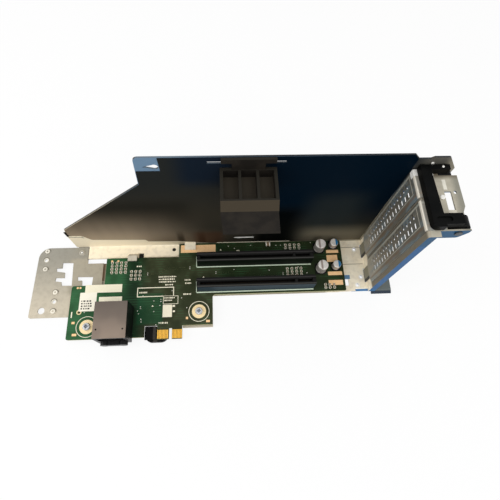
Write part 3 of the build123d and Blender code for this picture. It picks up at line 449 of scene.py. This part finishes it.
def slot_moulding():
    """The slots' black moulding: painted highlight lines and a shaded line along the top, a green black
    front, and a navy front in painted reflection.
    """
    plastic = Finish("slot_moulding", Specular_IOR_Level=0.1)
    grain = plastic.noise(0.4, 3.0)
    tone = plastic.mix(paint(18, 18, 17), paint(34, 33, 32), grain.above(0.35, 0.8))
    top = plastic.side_z.above(0.6, 0.95)
    for plane in SLOT_PLANES:
        # painted highlights on the top's edges, and painted shade in the dark line by the opening
        near_line = plastic.y.between(plane - 3.2, plane - 2.6, 0.25)
        far_line = plastic.y.between(plane + 1.9, plane + 2.4, 0.25)
        tone = plastic.mix(tone, paint(66, 66, 63), near_line * top)
        tone = plastic.mix(tone, paint(54, 52, 52), far_line * top)
        tone = plastic.mix(tone, paint(6, 6, 6), plastic.y.between(plane + 0.9, plane + 1.3, 0.2) * top)
    # painted navy reflection on the near slot's front
    front = plastic.mix(paint(44, 58, 66), paint(9, 18, 9), plastic.y.above(-14.0, -8.0))
    outer = plastic.y.between(-4.2, -3.4, 0.1) + plastic.y.between(-24.6, -23.6, 0.1)
    tone = plastic.mix(tone, front, outer * (1 - plastic.side_y.above(-0.9, -0.5)))
    plastic.colour(tone)
    plastic.roughness(0.48 + grain * 0.15)
    plastic.bump(grain, 0.012)
    return plastic.material


def support_moulding():
    """The card support's dull moulding: a slope in painted light, paler between its dark top and its front.
    """
    plastic = Finish("support_moulding", Specular_IOR_Level=0.08)
    grain = plastic.noise(0.6, 3.0)
    drift = plastic.noise(9.0, 2.0)
    tone = plastic.mix(paint(30, 27, 24), paint(40, 36, 31), drift.above(0.35, 0.65))
    # painted light on the upward slope
    slope = plastic.side_z.between(0.45, 0.85, 0.12) * (1 - plastic.side_y.above(-0.6, -0.3))
    tone = plastic.mix(tone, paint(62, 55, 44), slope)
    level = plastic.mix(paint(56, 51, 43), paint(36, 34, 29), plastic.z.above(99.0, 103.0))
    tone = plastic.mix(tone, level, plastic.side_z.above(0.9, 0.97))
    tone = plastic.mix(tone, paint(70, 66, 56), grain.above(0.55, 0.85) * 0.18)
    plastic.colour(tone)
    plastic.roughness(0.55 + grain * 0.2)
    plastic.bump(grain, 0.015)
    return plastic.material


def guide_moulding():
    """The guide block's black moulding, with a paler upright band of light."""
    plastic = Finish("guide_moulding", Specular_IOR_Level=0.08)
    grain = plastic.noise(0.5, 3.0)
    tone = plastic.mix(paint(6, 6, 6), paint(22, 20, 19), grain.above(0.4, 0.8))
    tone = plastic.mix(tone, paint(74, 70, 64), plastic.x.between(-31.4, -29.6, 0.9) * 0.6)
    plastic.colour(tone)
    plastic.roughness(0.4 + grain * 0.15)
    plastic.bump(grain, 0.012)
    return plastic.material


def receptacle_shell():
    """The receptacle's glossy moulding: warm light on its top, black sides."""
    shell = Finish("receptacle_shell", Specular_IOR_Level=0.2)
    grain = shell.noise(0.5, 3.0)
    sweep = shell.noise(14.0, 1.0)
    top = shell.mix(paint(146, 130, 116), paint(104, 94, 86), shell.y.above(-62.0, -34.0))
    top = shell.mix(top, paint(92, 82, 76), sweep.above(0.45, 0.75) * 0.3)
    tone = shell.mix(paint(14, 13, 14), top, shell.side_z.above(0.6, 0.95) * shell.z.above(18.0, 18.6))
    shell.colour(tone)
    shell.roughness(0.26 + grain * 0.16)
    shell.bump(grain, 0.015)
    return shell.material


def plated(name, tone, dull, roughness=0.28, metallic=0.9):
    """Plated or bare metal with a faint wipe over it."""
    metal = Finish(name, Metallic=metallic)
    wipe = metal.noise(0.9, 3.0)
    cloud = metal.noise(4.0, 2.0)
    metal.colour(metal.mix(tone, dull, wipe.above(0.4, 0.8) * 0.5 + cloud.above(0.5, 0.8) * 0.3))
    metal.roughness(roughness + wipe * 0.15)
    metal.bump(wipe, 0.006)
    return metal.material


def turned_heads(name, places, inner, outer, tone, middle, dark):
    """Screw or rivet heads: a painted middle (a blue reflection in the screws' recess, a white highlight on
    the rivets), a dark ring of painted shade round it, a bright rim.
    """
    metal = Finish(name, Metallic=0.3)
    wipe = metal.noise(0.8, 3.0)
    head = metal.mix(tone, dark, wipe.above(0.52, 0.66) * 0.6)
    for x, y in places:
        reach = metal.reach(x, y)
        # the middle is a painted reflection on the screws and a painted highlight on the rivets; the ring
        # round it is painted shade
        head = metal.mix(head, middle, (1 - reach.above(inner * 0.6, inner)) * 0.8)
        head = metal.mix(head, dark, reach.between(inner, outer, 0.15) * 0.85)
    metal.colour(head)
    metal.roughness(0.3 + wipe * 0.15)
    metal.bump(wipe, 0.006)
    return metal.material


def can_metal(name, blue_from=None):
    """Aluminium can: bright shoulder, brushed top, and on the small cans a blue sector."""
    can = Finish(name, Metallic=0.3)
    brush = can.noise(0.25, 3.0, (1.0, 0.2, 1.0))
    tone = can.mix(paint(236, 232, 226), paint(176, 168, 160), brush.above(0.35, 0.75) * 0.6)
    side = 1 - can.side_z.above(0.2, 0.8)
    tone = can.mix(tone, paint(150, 142, 132), side * 0.7)
    if blue_from is not None:
        sector = can.x.above(blue_from, blue_from + 0.25) * can.side_z.above(0.6, 0.95)
        tone = can.mix(tone, paint(28, 118, 172), sector)
    else:
        band = can.side_z.above(0.6, 0.95) * can.x.between(94.4, 95.4, 0.5)
        tone = can.mix(tone, paint(112, 84, 70), band * 0.7)
    can.colour(tone)
    can.roughness(0.28 + brush * 0.14)
    can.bump(brush, 0.008)
    return can.material


def ink(name, tone, worn):
    """Printed ink or paper, with a slightly broken tone."""
    layer = Finish(name, Specular_IOR_Level=0.3)
    speck = layer.noise(0.3, 3.0)
    cloud = layer.noise(3.0, 2.0)
    wear = speck.above(0.5, 0.85) * 0.35 + cloud.above(0.55, 0.8) * 0.25
    layer.colour(layer.mix(tone, worn, wear))
    layer.roughness(0.5 + speck * 0.2)
    layer.bump(speck, 0.006)
    return layer.material


ZINC = zinc_sheet()
COVER = cover_sheet()
FILM = insulating_film()
MASK = solder_mask()
SLOT = slot_moulding()
GUIDE = guide_moulding()
RECEPTACLE = receptacle_shell()
SUPPORT = support_moulding()
LATCH = latch_moulding()
GOLD = plated("gold_plate", paint(240, 184, 76), paint(206, 146, 50))
COPPER = plated("tinned_copper", paint(250, 206, 152), paint(222, 172, 118), 0.45, 0.1)
LAND = plated("screw_land", paint(246, 222, 172), paint(212, 182, 130), 0.4, 0.15)
# screws with a painted blue reflection in the middle, rivets with a painted white highlight
SCREW = turned_heads(
    "screw_nickel", SCREW_PLACES, 0.8, 1.1,
    tone=paint(198, 199, 200), middle=paint(104, 122, 142), dark=paint(86, 92, 100),
)
RIVET_HEADS = turned_heads(
    "rivet_heads", RIVET_PLACES, 0.9, 1.2,
    tone=paint(190, 185, 172), middle=paint(255, 254, 250), dark=paint(110, 106, 98),
)
SOLDER = plated("solder_tin", paint(240, 236, 222), paint(190, 184, 166), 0.34, 0.15)
RIVET = plated("rivet_zinc", paint(244, 242, 236), paint(190, 186, 176), 0.34, 0.2)
# the slot contacts' gold is painted dark for the shade deep in the slots
SHADED_GOLD = plated("shaded_contacts", paint(70, 52, 24), paint(44, 32, 16), 0.4, 0.4)
DARK_PIN = plated("pin_steel", paint(60, 66, 72), paint(30, 32, 36), 0.3, 0.5)
BEAD = plated("cover_bead", paint(176, 172, 158), paint(132, 126, 112), 0.4, 0.1)
CURL_HIGHLIGHT = plated("film_curl_highlight", paint(250, 242, 216), paint(214, 202, 172), 0.5, 0.0)
CAN_LARGE = can_metal("can_large")
CAN_SMALL = can_metal("can_small", 108.4)
SILK = ink("silk_ink", paint(246, 238, 212), paint(214, 208, 178))
SILK_PALE = ink("silk_ink_pale", paint(214, 228, 204), paint(178, 192, 166))
LABEL = ink("paper_label", paint(250, 244, 226), paint(232, 222, 200))
MARKS = ink("label_ink", paint(44, 42, 38), paint(96, 92, 84))
BODY = ink("chip_body", paint(126, 106, 80), paint(72, 60, 48))

finishes = {
    "zinc_steel": ZINC,
    "cover_steel": COVER,
    "black_film": FILM,
    "board_green": MASK,
    "slot_black": SLOT,
    "receptacle_plastic": RECEPTACLE,
    "contact_gold": GOLD,
    "screw_steel": SCREW,
    "can_aluminium": CAN_LARGE,
    "chip_ceramic": BODY,
    "support_black": SUPPORT,
    "latch_black": LATCH,
}
slot_of = {}
for entry in frame["record"]["subparts"]:
    slot_of[entry["node"]] = entry["material_slot"]
for name, node in frame["nodes"].items():
    finish = finishes[slot_of[name]]
    if name.startswith("small_capacitor") and not name.endswith("foot"):
        finish = CAN_SMALL
    if name == "guide_block":
        finish = GUIDE
    if name == "rivets":
        finish = RIVET_HEADS
    if name.startswith("hinge_pin"):
        finish = DARK_PIN
    node.data.materials.clear()
    node.data.materials.append(finish)


# Modelling

def clear_selection():
    bpy.ops.object.select_all(action="DESELECT")


def metres(*values):
    return tuple(value * MM for value in values)


def edit():
    bpy.ops.object.mode_set(mode="EDIT")


def done():
    bpy.ops.object.mode_set(mode="OBJECT")
    bpy.ops.object.transform_apply(location=True, rotation=True, scale=True)
    return bpy.context.object


def pull_up(height):
    """Extrudes what is selected straight up and turns all faces outwards."""
    bpy.ops.mesh.extrude_region_move(TRANSFORM_OT_translate={"value": metres(0, 0, height)})
    bpy.ops.mesh.select_all(action="SELECT")
    bpy.ops.mesh.normals_make_consistent(inside=False)


def start_plane(x, y, width, depth, low=BOARD_TOP):
    """A flat rectangle round a centre, selected in edit mode, to be shaped."""
    clear_selection()
    bpy.ops.mesh.primitive_plane_add(size=1, location=metres(x, y, low))
    edit()
    bpy.ops.transform.resize(value=metres(width, depth, 1.0))


def start_disc(x, y, radius, points, low=BOARD_TOP):
    """A flat disc round a centre, selected in edit mode, to be shaped."""
    clear_selection()
    place = metres(x, y, low)
    bpy.ops.mesh.primitive_circle_add(vertices=points, radius=radius * MM, fill_type="NGON", location=place)
    edit()


def start_block(x, length, width, height, middle):
    """A block whose centre is at x and at the height middle, in edit mode, to be shaped."""
    clear_selection()
    bpy.ops.mesh.primitive_cube_add(size=1, location=metres(x, 0, middle))
    edit()
    bpy.ops.transform.resize(value=metres(length, width, height))


def plate(x, y, width, depth, low=BOARD_TOP, height=INK, corner=0.0):
    """A thin plate round a centre, with rounded corners if asked."""
    start_plane(x, y, width, depth, low)
    if corner:
        bpy.ops.mesh.bevel(offset=corner * MM, segments=3, affect="VERTICES")
        bpy.ops.mesh.select_all(action="SELECT")
    pull_up(height)
    return done()


def outline_box(x, y, width, depth, line, height=INK):
    """A rectangle's printed outline: a plane inset and its middle taken out."""
    start_plane(x, y, width, depth)
    bpy.ops.mesh.inset(thickness=line * MM)
    bpy.ops.mesh.delete(type="FACE")
    bpy.ops.mesh.select_all(action="SELECT")
    pull_up(height)
    return done()


def ring(x, y, inner, outer, height=PLATING, points=48):
    """A flat ring: a disc inset to its hole, the middle taken out, then pulled up."""
    start_disc(x, y, outer, points)
    bpy.ops.mesh.inset(thickness=(outer - inner) * MM)
    bpy.ops.mesh.delete(type="FACE")
    bpy.ops.mesh.select_all(action="SELECT")
    pull_up(height)
    return done()


def disc(x, y, radius, height=PLATING, points=16):
    """A low round pad, or a flat triangle where it has three points."""
    start_disc(x, y, radius, points)
    pull_up(height)
    return done()


def order_round(vertex):
    """The order of a new plane's corners, from its low left one round to its upper left."""
    if vertex.co.y < 0:
        return 0 if vertex.co.x < 0 else 1
    return 2 if vertex.co.x > 0 else 3


TRACK_HEIGHT = 0.03
STUB = 0.05


def strip(points, width, height=TRACK_HEIGHT):
    """A track: a short thin plane whose end edge is pulled along from corner to corner."""
    clear_selection()
    start, second = Vector(points[0]), Vector(points[1])
    way = (second - start).normalized()
    across = Vector((-way.y, way.x)) * width / 2
    bpy.ops.mesh.primitive_plane_add(size=1, location=(0, 0, 0))
    piece = bpy.context.object
    stub = start + way * STUB
    corner_points = [start - across, stub - across, stub + across, start + across]
    order = [vertex.index for vertex in sorted(piece.data.vertices, key=order_round)]
    for index, corner in zip(order, corner_points):
        piece.data.vertices[index].co = metres(corner.x, corner.y, BOARD_TOP)
    edit()
    bpy.ops.mesh.select_mode(type="VERT")
    bpy.ops.mesh.select_all(action="DESELECT")
    bpy.ops.object.mode_set(mode="OBJECT")
    for index in order[1:3]:
        piece.data.vertices[index].select = True
    edit()
    here = stub
    for corner in points[1:]:
        step = Vector(corner) - here
        bpy.ops.mesh.extrude_region_move(TRANSFORM_OT_translate={"value": metres(step.x, step.y, 0)})
        here = Vector(corner)
    bpy.ops.mesh.select_all(action="SELECT")
    pull_up(height)
    return done()


def copies(model, places, turns=None):
    """Copies of a modelled piece, each with its own mesh, moved by the given steps."""
    made = []
    for number, step in enumerate(places):
        extra = model.copy()
        extra.data = model.data.copy()
        bpy.context.collection.objects.link(extra)
        turn = Matrix.Rotation(turns[number], 4, "Z") if turns else Matrix.Identity(4)
        extra.data.transform(Matrix.Translation(metres(*step)) @ turn)
        made.append(extra)
    bpy.data.objects.remove(model)
    return made


SMOOTH_ANGLE = 0.6


def gather(parts, name, finish, body="cage"):
    """Joins the parts into one piece with its finish, on its body."""
    clear_selection()
    for part in parts:
        part.select_set(True)
    bpy.context.view_layer.objects.active = parts[0]
    if len(parts) > 1:
        bpy.ops.object.join()
    piece = bpy.context.object
    piece.name = name
    piece.data.materials.clear()
    piece.data.materials.append(finish)
    bpy.ops.object.shade_smooth_by_angle(angle=SMOOTH_ANGLE)
    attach(piece, body)
    return piece


# Plated pads, rings and fingers of the board

LAND_INNER = 2.1
LAND_OUTER = 5.2
rings = []
for x, y in SCREW_PLACES:
    rings.append(ring(x, y, LAND_INNER, LAND_OUTER))
rings.append(ring(-86.3, -36.9, 1.1, 1.8))
gather(rings, "screw_lands", LAND)

# The two finger rows on either side of the key: first finger and count.
FINGER_ROWS = ((-28.5, 8), (-17.7, 7))
FINGER_PITCH = 1.0
BOARD_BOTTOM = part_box("riser_board")[0].z / MM
finger_model = plate(0, -55.0, 0.72, 6.4, BOARD_TOP, PLATING, 0.2)
finger_places = []
for first, count in FINGER_ROWS:
    for number in range(count):
        x = first + number * FINGER_PITCH
        finger_places.append((x, 0, 0))
        finger_places.append((x, 0, BOARD_BOTTOM - PLATING))
gather(copies(finger_model, finger_places), "edge_fingers", GOLD)

bare_pads = [
    plate(0.4, 11.1, 27.2, 6.4, corner=0.3),
    plate(106.8, 5.9, 9.8, 2.6, corner=0.3),
    plate(106.0, 0.0, 8.6, 5.8, corner=0.3),
    plate(106.9, -12.5, 11.2, 3.0, corner=0.3),
    plate(106.6, -20.0, 11.2, 4.0, corner=0.3),
]
for x, y, width in [(-89.6, -44.6, 2.2), (-87.9, -53.3, 3.2), (-7.7, -43.8, 1.6), (7.7, -46.6, 2.8)]:
    bare_pads.append(plate(x, y, width, 1.7, corner=0.2))
for x, y in [(-89.2, -18.3), (-87.2, -18.3), (-65.6, 2.4), (-60.9, 2.4)]:
    bare_pads.append(disc(x, y, 0.8))
gather(bare_pads, "bare_pads", COPPER)

# Printed marks of the board: fields, outlines, rings, triangles and rows of plain dashes

silk = [
    plate(-70.0, -19.3, 27.0, 6.2),
    plate(-64.4, -27.5, 16.8, 3.4),
    outline_box(-31.4, -23.2, 27.4, 7.4, 0.6),
    outline_box(-20.0, -29.7, 11.2, 6.4, 0.35),
    plate(-22.2, -38.0, 6.8, 9.2),
    plate(-17.6, -34.4, 1.8, 1.4),
    plate(-17.4, -38.4, 1.6, 1.2),
    plate(-91.4, -38.6, 0.8, 4.4),
    plate(44.0, 16.0, 58.0, 0.35),
]
for x, y in SCREW_PLACES:
    silk.append(ring(x, y, 7.3, 7.7, height=INK))
for x, y in [(4.5, -12.6), (18.0, 9.6), (-33.2, -34.0)]:
    silk.append(disc(x, y, 0.9, height=INK, points=3))
DASH_GAP = 0.45
# x and y of each row's start, and the row's length
dash_rows = [
    (-29.6, -11.4, 13.0), (-29.4, -13.4, 12.0), (-29.2, -15.4, 12.6), (-24.4, -17.8, 6.0),
    (-24.6, -28.0, 7.0), (-24.6, -30.0, 6.0), (-9.8, -14.4, 4.0), (-9.4, -17.0, 4.2),
    (-10.6, -25.6, 5.2), (26.0, -14.8, 9.0), (42.6, -13.6, 3.4), (60.0, -14.6, 3.0),
    (-28.0, -46.8, 6.0), (-43.6, -23.4, 5.4), (30.4, 8.6, 1.6), (-46.6, -2.4, 3.0),
]
for x, y, length in dash_rows:
    here = x
    while here < x + length:
        dash = dice.uniform(0.5, 1.1)
        silk.append(plate(here + dash / 2, y, dash, dice.uniform(0.8, 1.2)))
        here += dash + DASH_GAP
gather(silk, "silk_marks", SILK)

# Pale lines on the board along and across the slots

SLOT_MIDDLE = 43.9
SLOT_LENGTH = 89.2
FRONT_GAP = 4.3
slot_lines = []
for plane_y in SLOT_PLANES:
    slot_lines.append(plate(SLOT_MIDDLE, plane_y - FRONT_GAP, SLOT_LENGTH, 0.8))
    slot_lines.append(plate(-0.9, plane_y + 0.3, SILK_LINE, 2 * FRONT_GAP))
gather(slot_lines, "slot_outlines", SILK_PALE)

# The paper label, with four rows of plain dashes

label = plate(-80.7, -29.2, 12.2, 14.2, height=PAPER, corner=0.5)
gather([label], "paper_label", LABEL)
MARKS_LEFT = -85.4
MARKS_RIGHT = -79.0
MARKS_TOP = -28.6
MARKS_STEP = 1.9
marks = []
for row in range(4):
    here = MARKS_LEFT
    y = MARKS_TOP - row * MARKS_STEP
    while here < MARKS_RIGHT:
        dash = dice.uniform(0.6, 1.6)
        marks.append(plate(here + dash / 2, y, dash, 1.1, low=PAPER, height=0.03))
        here += dash + dice.uniform(0.4, 0.9)
gather(marks, "label_marks", MARKS)

# Tracks under the mask, with a via at each end

track_ways = [
    [(-42.0, -34.2), (-36.0, -34.2), (-30.6, -29.0), (-27.2, -29.0)],
    [(-42.0, -35.6), (-35.4, -35.6), (-30.0, -30.6), (-27.2, -30.6)],
    [(-44.0, -37.4), (-36.0, -37.4), (-32.0, -33.6), (-27.8, -33.6)],
    [(-41.0, -44.0), (-31.0, -44.0), (-28.0, -46.6)],
    [(-41.0, -45.6), (-33.0, -45.6), (-30.2, -48.0)],
    [(-38.0, -8.0), (-30.0, -8.0), (-24.0, -4.0), (-6.0, -4.0)],
    [(-38.0, -9.4), (-29.4, -9.4), (-23.4, -5.4), (-6.0, -5.4)],
    [(-12.0, -28.4), (-8.0, -31.6), (-8.0, -36.0)],
    [(14.0, -8.6), (40.0, -8.6), (44.0, -11.0), (66.0, -11.0)],
    [(14.0, -9.8), (39.4, -9.8), (43.4, -12.2), (66.0, -12.2)],
    [(24.0, 12.6), (44.0, 12.6), (48.0, 10.4), (70.0, 10.4)],
    [(62.0, 12.4), (72.0, 12.4), (74.0, 14.0), (90.0, 14.0)],
]
TRACK_WIDTH = 0.45
tracks = []
via_places = []
for way in track_ways:
    tracks.append(strip(way, TRACK_WIDTH))
    via_places.append((*way[0], 0))
    via_places.append((*way[-1], 0))
# Fields of the board that hold loose vias: from left to right, then from one side across.
VIA_ZONES = [(-90, -48, -30, -56), (-44, -14, -8, -46), (12, 88, -6, -14), (20, 88, 8, 14)]
LOOSE_VIAS = 22
for number in range(LOOSE_VIAS):
    left, right, side, other_side = dice.choice(VIA_ZONES)
    via_places.append((dice.uniform(left, right), dice.uniform(side, other_side), 0))
gather(tracks, "mask_tracks", MASK)
gather(copies(ring(0, 0, 0.16, 0.36, points=10), via_places), "vias", SOLDER)

# Chip components: a body with two tinned end caps, at every place of the solid chips


def chip(length, width, height):
    """A chip part: a bevelled body, and a slightly larger cap at each of its ends."""
    start_block(0, length * 0.56, width * 0.92, height * 0.94, height / 2)
    bpy.ops.mesh.bevel(offset=0.04 * MM, segments=1)
    body = done()
    caps = []
    for side in (-1, 1):
        start_block(side * length * 0.39, length * 0.22, width, height, height / 2)
        bpy.ops.mesh.bevel(offset=0.08 * MM, segments=2)
        caps.append(done())
    return body, caps


def loose_boxes(node):
    """Centre and size of each separate solid of a node, from its mesh."""
    mesh = frame["nodes"][node].data
    owner = list(range(len(mesh.vertices)))

    def root(index):
        while owner[index] != index:
            owner[index] = owner[owner[index]]
            index = owner[index]
        return index

    for edge in mesh.edges:
        owner[root(edge.vertices[0])] = root(edge.vertices[1])
    seen = {}
    for vertex in mesh.vertices:
        key = tuple(round(part, 7) for part in vertex.co)
        if key in seen:
            owner[root(vertex.index)] = root(seen[key])
        seen[key] = vertex.index
    groups = {}
    for vertex in mesh.vertices:
        groups.setdefault(root(vertex.index), []).append(vertex.co)
    boxes = []
    for points in groups.values():
        low = Vector(min(point[axis] for point in points) for axis in range(3))
        high = Vector(max(point[axis] for point in points) for axis in range(3))
        boxes.append(((low + high) / 2 / MM, (high - low) / MM))
    return sorted(boxes, key=lambda box: tuple(round(part, 3) for part in box[0]))


SMALL_CHIP = (1.9, 1.1, 0.8)
LONGEST_SMALL_CHIP = 3.0
TURNED_SHARE = 0.4
CHIP_LINE = 1.7
CHIP_LINE_WIDTH = 0.24
CHIP_LINE_STEP = 0.92

chip_bodies = []
chip_caps = []
small_body, small_caps = chip(*SMALL_CHIP)
small_places = []
small_turns = []
for centre, size in loose_boxes("chip_parts"):
    if size.x > LONGEST_SMALL_CHIP:
        big_body, big_caps = chip(size.x, size.y, size.z)
        chip_bodies += copies(big_body, [(centre.x, centre.y, BOARD_TOP)])
        for cap in big_caps:
            chip_caps += copies(cap, [(centre.x, centre.y, BOARD_TOP)])
    else:
        small_places.append((centre.x, centre.y, BOARD_TOP))
        small_turns.append(math.pi / 2 if dice.random() < TURNED_SHARE else 0.0)
chip_bodies += copies(small_body, small_places, small_turns)
for cap in small_caps:
    chip_caps += copies(cap, small_places, small_turns)
line_model = plate(0, 0, CHIP_LINE, CHIP_LINE_WIDTH)
line_places = []
line_turns = []
for place, turn in zip(small_places, small_turns):
    for side in (-CHIP_LINE_STEP, CHIP_LINE_STEP):
        step = Vector((0, side)) if turn == 0 else Vector((-side, 0))
        line_places.append((place[0] + step.x, place[1] + step.y, 0))
        line_turns.append(turn)
gather(copies(line_model, line_places, line_turns), "chip_outlines", SILK)
body_piece = gather(chip_bodies, "chip_bodies", BODY)
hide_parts("chip_parts")
gather(chip_caps, "chip_end_caps", SOLDER)

# Spring contacts inside both card slots

CONTACT_WIDTH = 0.5
CONTACT_PITCH = 1.0
CONTACT_STEPS = 84
FIRST_CONTACT = 3.4
LAST_CONTACT = 86.0
KEY_MIDDLE = 74.1
KEY_HALF = 1.3
SLOT_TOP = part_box("slot_connector_far")[1].z / MM


def spring_contact():
    """A flat spring: a thin plate pulled down its housing wall, bulged towards the card."""
    start_plane(0, 0.8, CONTACT_WIDTH, 0.12, SLOT_TOP - 5.4)
    for step_y, step_z in [(-0.22, -0.8), (-0.16, -0.5), (0.16, -0.5), (0.2, -0.8)]:
        bpy.ops.mesh.extrude_region_move(TRANSFORM_OT_translate={"value": metres(0, step_y, step_z)})
    bpy.ops.mesh.select_all(action="SELECT")
    bpy.ops.mesh.normals_make_consistent(inside=False)
    return done()


contact_xs = []
for number in range(CONTACT_STEPS):
    x = FIRST_CONTACT + number * CONTACT_PITCH
    if abs(x - KEY_MIDDLE) > KEY_HALF and x < LAST_CONTACT:
        contact_xs.append(x)
contact_model = spring_contact()
contact_places = []
contact_turns = []
for plane_y in SLOT_PLANES:
    for x in contact_xs:
        contact_places += [(x, plane_y, 0), (x, plane_y, 0)]
        contact_turns += [0.0, math.pi]
gather(copies(contact_model, contact_places, contact_turns), "slot_contacts", SHADED_GOLD)

# Small trim: ledge boss, wall rivet, arm pin, beads on the card brackets, the film's curled edge in painted
# highlight, and dark strips for the shadow under it and a fold

LEDGE_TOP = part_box("end_bracket")[1].z / MM
LATCH_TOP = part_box("retention_latch")[1].z / MM


def boss(x, y, radius, height, low):
    """A round boss: a disc pulled up, its top ring narrowed by a bevel."""
    start_disc(x, y, radius, 32, low)
    bpy.ops.mesh.extrude_region_move(TRANSFORM_OT_translate={"value": metres(0, 0, height)})
    bpy.ops.mesh.bevel(offset=height * 0.4 * MM, segments=3)
    bpy.ops.mesh.select_all(action="SELECT")
    bpy.ops.mesh.normals_make_consistent(inside=False)
    return done()


def stand_up(piece, turn_x=0.0, turn_y=0.0, to=(0.0, 0.0, 0.0)):
    """Turns a flat piece upright about the origin, then moves it to its place."""
    turn = Matrix.Rotation(turn_y, 4, "Y") @ Matrix.Rotation(turn_x, 4, "X")
    piece.data.transform(Matrix.Translation(metres(*to)) @ turn)
    return piece


gather([boss(145.2, -2.6, 1.5, 0.6, LEDGE_TOP)], "ledge_boss", RIVET)
gather([boss(146.6, 14.0, 0.7, 0.35, LATCH_TOP)], "arm_pin", RIVET, body="latch")
wall_rivet = stand_up(boss(0, 0, 0.9, 0.5, 0), turn_x=math.pi / 2, to=(140.8, 16.4, 106.4))
gather([wall_rivet], "wall_rivet", RIVET)
beads = []
for middle in COVER_MIDDLES:
    bead = outline_box(0, 0, 79.0, 12.6, 0.45, 0.14)
    beads.append(stand_up(bead, turn_y=-math.pi / 2, to=(131.14, middle + 1.6, 56.4)))
gather(beads, "cover_beads", BEAD)
# a cream strip that paints the highlight along the film's curled edge
curl = strip([(-94.6, 17.7), (-84.6, 17.7), (-82.4, 15.6)], 0.9, 0.4)
gather([stand_up(curl, turn_x=math.pi / 2, to=(0, 16.1, 0))], "film_curl_highlight", CURL_HIGHLIGHT)
# dark strips: a painted shadow under the curled edge, and an upright fold at the film's left edge
shaded_folds = [strip([(-94.2, 16.7), (-85.2, 16.7), (-83.4, 15.0)], 0.6, 0.3)]
shaded_folds.append(strip([(-93.7, 25.6), (-93.7, 18.4)], 1.3, 0.5))
for piece in shaded_folds:
    stand_up(piece, turn_x=math.pi / 2, to=(0, 16.1, 0))
gather(shaded_folds, "film_shadow_and_fold", GUIDE)

# Floor, light, camera

# Metres, and the strength of the studio's light on the riser.
FLOOR_SIZE = 6
FLOOR_DROP = 0.0002
WHITE_SHARE = 0.85
STUDIO_LEVEL = 0.66

clear_selection()
bpy.ops.mesh.primitive_plane_add(size=FLOOR_SIZE, location=(0, 0, cad_low.z - FLOOR_DROP))
floor = bpy.context.object
floor.name = "floor"
floor_finish = Finish("floor_paint", Roughness=0.9, Specular_IOR_Level=0.1)
speckle = floor_finish.noise(3.0, 2.0)
floor_finish.colour(floor_finish.mix(paint(238, 238, 238), paint(244, 244, 244), speckle))
white = floor_finish.node("ShaderNodeEmission", inputs={"Color": (1.0, 1.0, 1.0), "Strength": 1.0})
lit = Signal(floor_finish, floor_finish.shader.outputs[0])
# what the camera sees is mostly white, and the rest keeps the shadow
share = floor_finish.sight() * WHITE_SHARE
laid = floor_finish.node("ShaderNodeMixShader", inputs={0: share, 1: lit, 2: white})
floor_finish.feed(floor_finish.tree.nodes["Material Output"].inputs["Surface"], laid)
floor.data.materials.append(floor_finish.material)

world = bpy.data.worlds.new("studio")
bpy.context.scene.world = world
world.use_nodes = True
studio = Nodes(world.node_tree)
background = studio.tree.nodes["Background"]
studio.feed(background.inputs["Color"], (1.0, 1.0, 1.0))
studio.feed(background.inputs["Strength"], studio.sight() * (1.0 - STUDIO_LEVEL) + STUDIO_LEVEL)


def soft_box(name, place, aim, size, power):
    """A square lamp that looks at a point."""
    lamp = bpy.data.lights.new(name, "AREA")
    lamp.size = size
    lamp.energy = power
    holder = bpy.data.objects.new(name, lamp)
    bpy.context.collection.objects.link(holder)
    holder.location = place
    holder.rotation_euler = (Vector(aim) - Vector(place)).to_track_quat("-Z", "Y").to_euler()


soft_box("key", place=(0.25, -0.42, 1.0), aim=(0.08, 0, 0), size=1.2, power=5.8)
soft_box("fill", place=(-0.65, -0.1, 0.5), aim=(0.05, 0, 0.03), size=0.5, power=2.2)

# The place in millimetres and the turns in degrees that were fitted to the photo.
CAMERA_PLACE = (22.938, -109.8, 293.481)
CAMERA_TILT = (22.1228, -2.5131, -2.5804)
view_finder = bpy.data.cameras.new("camera")
view_finder.lens = 28.8
view_finder.sensor_width = 36.0
view_finder.clip_start = 0.01
camera = bpy.data.objects.new("camera", view_finder)
bpy.context.collection.objects.link(camera)
camera.location = metres(*CAMERA_PLACE)
camera.rotation_euler = Euler([math.radians(angle) for angle in CAMERA_TILT])
bpy.context.scene.camera = camera
bpy.context.scene.view_settings.view_transform = "Standard"
